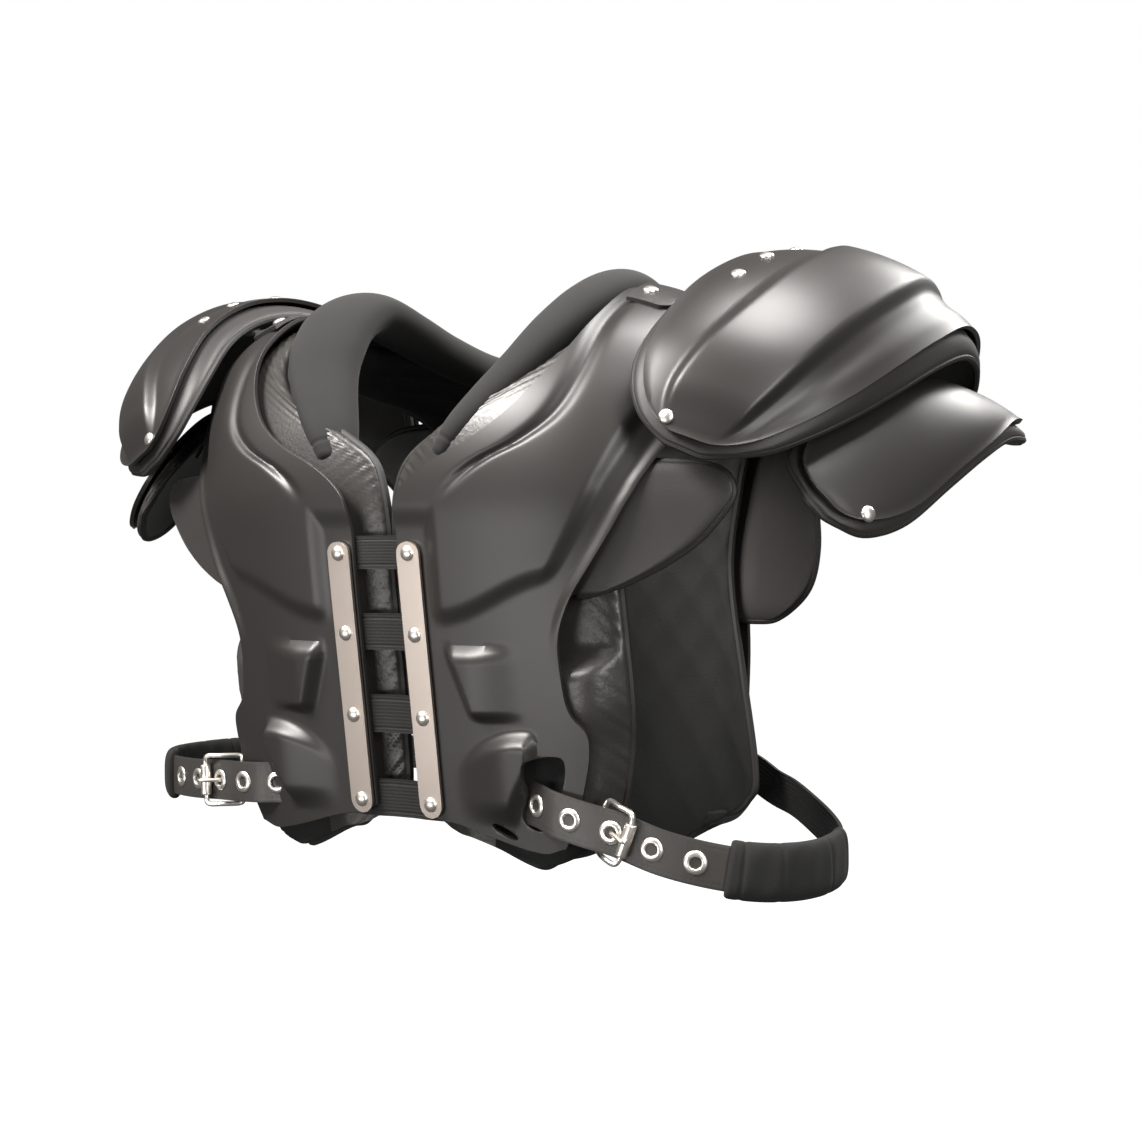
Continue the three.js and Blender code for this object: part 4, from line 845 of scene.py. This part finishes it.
# Eyelets: pressed metal rings at one-inch steps, a rounded lip over the belt's face.
eyelet_hole, eyelet_barrel, eyelet_rim, eyelet_seat = 3.4, 4.6, 6.8, 1.4
eyelet_profile = [(eyelet_hole, -eyelet_seat), (eyelet_hole, 1.6), (3.6, 2.2), (4.2, 2.55), (5.0, 2.45),
                  (5.9, 2.1), (6.6, 1.7), (eyelet_rim, eyelet_seat), (eyelet_barrel, eyelet_seat),
                  (eyelet_barrel, -eyelet_seat)]


def turned(profile, sides, ring_of):
    """Lathe: closed ring of (radius, height) pairs swept round, each point placed by ring_of."""
    radius, height = np.array(profile, float).T
    turn = np.linspace(0, 2 * np.pi, sides, endpoint=False)
    points = ring_of(radius[:, None] * np.cos(turn), radius[:, None] * np.sin(turn),
                     np.broadcast_to(height[:, None], (len(radius), sides)))
    return looped(points)


for hand, side in hands:
    place = routes[hand]
    for number in range(5):
        middle = belt_ahead + number * eyelet_pitch
        ring = turned(eyelet_profile, 40, lambda x, y, z: place(middle + x, y, z))
        piece(f"belt_eyelet_{number + 1}_{hand}", ring, nickel,
              [f"eyelet_{number + 1}_{hand}"], side, 50)

# Roller buckles: a wire frame whose heel is held behind the flank by a strap, a loose roller
# under which the belt passes, and a prong through the third eyelet.
buckle_wire, roller_radius, prong_eyelet, roller_past, buckle_length = 3.2, 3.4, 2, 11.0, 20.0
roller_lift = belt_thick / 2 + touch_gap + roller_radius
heel_sink = belt_thick / 2 + touch_gap + shell_wall + 2.4 + strap_thick + buckle_wire / 2
buckle_at = belt_ahead + prong_eyelet * eyelet_pitch + roller_past


half = belt_width / 2 + touch_gap + buckle_wire / 2 + 0.6
corners = [(0, -0.72), (0, 0), (0, 0.72), (0.12, 1), (0.5, 1.02), (0.88, 1), (1, 0.72), (1, 0),
           (1, -0.72), (0.88, -1), (0.5, -1.02), (0.12, -1)]
loop = [(buckle_length * t, half * y, roller_lift - (roller_lift + heel_sink) * ease(t, 0.25, 0.95))
        for t, y in corners]
wire = smooth_path(loop, 160, True)
frame_wire = tube(wire, np.broadcast_to((0.0, 0.0, 1.0), wire.shape), buckle_wire / 2, 14)
bore, long = buckle_wire / 2 + 0.55, belt_width * 0.38
roller_profile = [(bore, -long), (2.9, -long), (3.3, -long + 0.35), (3.4, -long + 0.9), (3.4, long - 0.9),
                  (3.3, long - 0.35), (2.9, long), (bore, long)]
prong_radius = 1.3
prong_top = roller_lift + roller_radius + touch_gap + prong_radius
spine = smooth_path([(buckle_length - 4.5, 0, -2.9), (roller_past + 4, 0, -2.9),
                     (roller_past + 1.4, 0, -1.9), (roller_past, 0, 0.2), (roller_past - 1.6, 0, 3),
                     (2.5, 0, prong_top), (-1.5, 0, prong_top)], 60, False)
prong_rod = tube(spine, np.broadcast_to((0.0, 1.0, 0.0), spine.shape), prong_radius, 12, closed=False)


def heel_strap(a, b, c):
    """Strap behind the flank: a straight tail, then a loop round the frame's heel."""
    r = buckle_wire / 2 + touch_gap + strap_thick * (1 - c)
    angle = -np.pi / 2 - np.maximum(0, (a - 0.3) / 0.7) * 1.25 * np.pi
    tail = np.maximum(0, (0.3 - a) / 0.3) * 22
    return buckle_length + tail + r * np.cos(angle), (b - 0.5) * 20, -heel_sink + r * np.sin(angle)


a, b = np.meshgrid(np.linspace(0, 1, 60), np.linspace(0, 1, 12), indexing="ij")
for hand, side in hands:
    place = routes[hand]

    def at_buckle(points):
        """Points (back, across, out) of the buckle, put on the belt's route."""
        return place(buckle_at - points[..., 0], points[..., 1], points[..., 2])

    piece(f"buckle_wire_{hand}", (at_buckle(frame_wire[0]), frame_wire[1]), nickel,
          [f"buckle_frame_{hand}"], side, 60)
    barrel = turned(roller_profile, 36, lambda x, y, z: at_buckle(np.stack([x, z, roller_lift + y], -1)))
    piece(f"roller_barrel_{hand}", barrel, nickel, [f"buckle_roller_{hand}"], side, 50)
    piece(f"prong_{hand}", (at_buckle(prong_rod[0]), prong_rod[1]), nickel,
          [f"buckle_prong_{hand}"], side, 60)
    holder = slab(*(at_buckle(np.stack(heel_strap(a, b, c), -1)) for c in (1.0, 0.0)))
    piece(f"buckle_holder_{hand}", holder, webbing, [f"buckle_strap_{hand}"], side)

# Belt sleeves: padded knit round the belt's end and the start of the elastic, bound at both
# mouths and stitched along its edges.
sleeve_width, sleeve_thick = 33.0, 11.0
sleeve_from, sleeve_to = belt_run - 10, belt_run + 88


def sleeve_surface(a, turn, place):
    """Flat oval tube on the belt's route: half width 16.5 by half depth 5.5, swollen between
    its seams, pinched where the seams cross it, closed at both mouths by a rolled edge."""
    run = sleeve_from + (sleeve_to - sleeve_from) * a
    from_end = np.minimum(a, 1 - a) * (sleeve_to - sleeve_from)
    lip = np.sqrt(np.clip(1 - (1 - np.clip(from_end / 3, 0, 1)) ** 2, 0, 1))
    seam = 0.9 * np.exp(-(((from_end - 8) / 1.3) ** 2)) + 0.6 * np.exp(-(((from_end - 30) / 1.6) ** 2))
    power = 0.62
    wide = np.sign(np.cos(turn)) * np.abs(np.cos(turn)) ** power
    deep = np.sign(np.sin(turn)) * np.abs(np.sin(turn)) ** 0.9
    fold = 0.35 * np.sin(run * 0.33 + 2 * np.cos(turn)) * (1 - np.exp(-from_end / 6))
    half = (sleeve_thick / 2 - seam + fold) * (0.45 + 0.55 * lip)
    return place(run, wide * (sleeve_width / 2 - 0.4 * seam) * (0.9 + 0.1 * lip), deep * half)


sleeve_knit = finish("sleeve_knit", (0.005, 0.0047, 0.0047), 0.88, size=1500, depth=0.15, sheen=0.02)
a, turn = np.meshgrid(close_ends(160, 0.5), np.linspace(0, 2 * np.pi, 48, endpoint=False), indexing="ij")
for hand, side in hands:
    shape = ringed(sleeve_surface(a, turn, routes[hand]))
    sleeve = piece(f"sleeve_{hand}", shape, sleeve_knit, [f"belt_sleeve_{hand}"], side, 75)

# Side elastics: thick ribbed elastic from the sleeve round the flank to the back arch.
elastic_width, elastic_thick = 24.0, 1.8
elastic_from, elastic_to = belt_run + touch_gap, 456.0
a, b = np.meshgrid(np.linspace(0, 1, 160), np.linspace(0, 1, 55), indexing="ij")
for hand, side in hands:
    place = routes[hand]
    run = elastic_from + (elastic_to - elastic_from) * a
    rib = 0.2 * np.cos(b * 18 * np.pi)
    faces = [place(run, (b - 0.5) * elastic_width, k * (elastic_thick / 2 + rib)) for k in (1, -1)]
    band_piece = piece(f"side_band_{hand}", slab(*faces), elastic,
                       [f"side_elastic_{hand}"], side)

# Studio: a pale floor far below and even white surroundings, a broad key from the upper left
# in front, a strip along the right side, a top light, a rear light and a weak fill from below.
floor_mesh = bpy.data.meshes.new("floor")
floor_half, floor_down = 40, -0.7
floor_corners = [(x * floor_half, y * floor_half, floor_down)
                 for x, y in ((-1, -1), (1, -1), (1, 1), (-1, 1))]
floor_mesh.from_pydata(floor_corners, [], [(0, 1, 2, 3)])
floor_paint = bpy.data.materials.new("floor_paint")
floor_paint.use_nodes = True
floor_shader = floor_paint.node_tree.nodes["Principled BSDF"]
floor_shader.inputs["Base Color"].default_value = (0.2, 0.2, 0.2, 1)
floor_shader.inputs["Roughness"].default_value = 1.0
floor_shader.inputs["Specular IOR Level"].default_value = 0.0
floor_shader.inputs["Emission Color"].default_value = (1, 1, 1, 1)
floor_shader.inputs["Emission Strength"].default_value = 1.0
floor_mesh.materials.append(floor_paint)
floor = bpy.data.objects.new("floor", floor_mesh)
floor.visible_diffuse = floor.visible_glossy = False
bpy.context.collection.objects.link(floor)

world = bpy.data.worlds.new("studio")
world.use_nodes = True
bpy.context.scene.world = world
air = world.node_tree
seen = air.nodes["Background"]
seen.inputs["Color"].default_value = (1, 1, 1, 1)
seen.inputs["Strength"].default_value = 1.0
ambient = air.nodes.new("ShaderNodeBackground")
ambient.inputs["Color"].default_value = (1, 0.99, 0.97, 1)
ambient.inputs["Strength"].default_value = 0.14
ray = air.nodes.new("ShaderNodeLightPath")
mix = air.nodes.new("ShaderNodeMixShader")
air.links.new(ray.outputs["Is Camera Ray"], mix.inputs[0])
air.links.new(ambient.outputs["Background"], mix.inputs[1])
air.links.new(seen.outputs["Background"], mix.inputs[2])
air.links.new(mix.outputs["Shader"], air.nodes["World Output"].inputs["Surface"])
bpy.context.scene.view_settings.view_transform = "Standard"

look = np.array([-0.003, 0.070, -0.165])


def lamp(name, at, size, watts, tint):
    """An area light at a place, facing the part."""
    light = bpy.data.lights.new(name, "AREA")
    light.shape = "RECTANGLE"
    light.size, light.size_y, light.energy, light.color = *size, watts, tint
    made = bpy.data.objects.new(name, light)
    made.location = at
    made.rotation_euler = Vector(look - np.array(at)).to_track_quat("-Z", "Y").to_euler()
    bpy.context.collection.objects.link(made)
    return made


lamps = [lamp("key_light", (-0.7, -1.35, 1.2), (1.0, 0.5), 100, (1, 0.97, 0.94)),
         lamp("top_light", (0.6, -0.2, 1.5), (0.7, 0.9), 62, (1, 0.98, 0.96)),
         lamp("side_light", (1.7, -0.9, 0.2), (0.4, 1.2), 22, (1, 0.98, 0.96)),
         lamp("rear_light", (0.6, 1.5, 1.1), (0.9, 0.6), 30, (1, 0.98, 0.96)),
         lamp("low_light", (-0.3, -1.6, -0.6), (1.2, 0.4), 10, (1, 0.98, 0.96))]

camera_data = bpy.data.cameras.new("camera")
camera_data.lens = 61.6
camera_data.sensor_width = 36
camera = bpy.data.objects.new("camera", camera_data)
turn_round, rise = np.radians(33), np.radians(0.5)
back = np.array([np.sin(turn_round) * np.cos(rise), -np.cos(turn_round) * np.cos(rise), np.sin(rise)])
camera.location = look + back * 1.330
camera.rotation_euler = Vector(back).to_track_quat("Z", "Y").to_euler()
bpy.context.collection.objects.link(camera)
bpy.context.scene.camera = camera
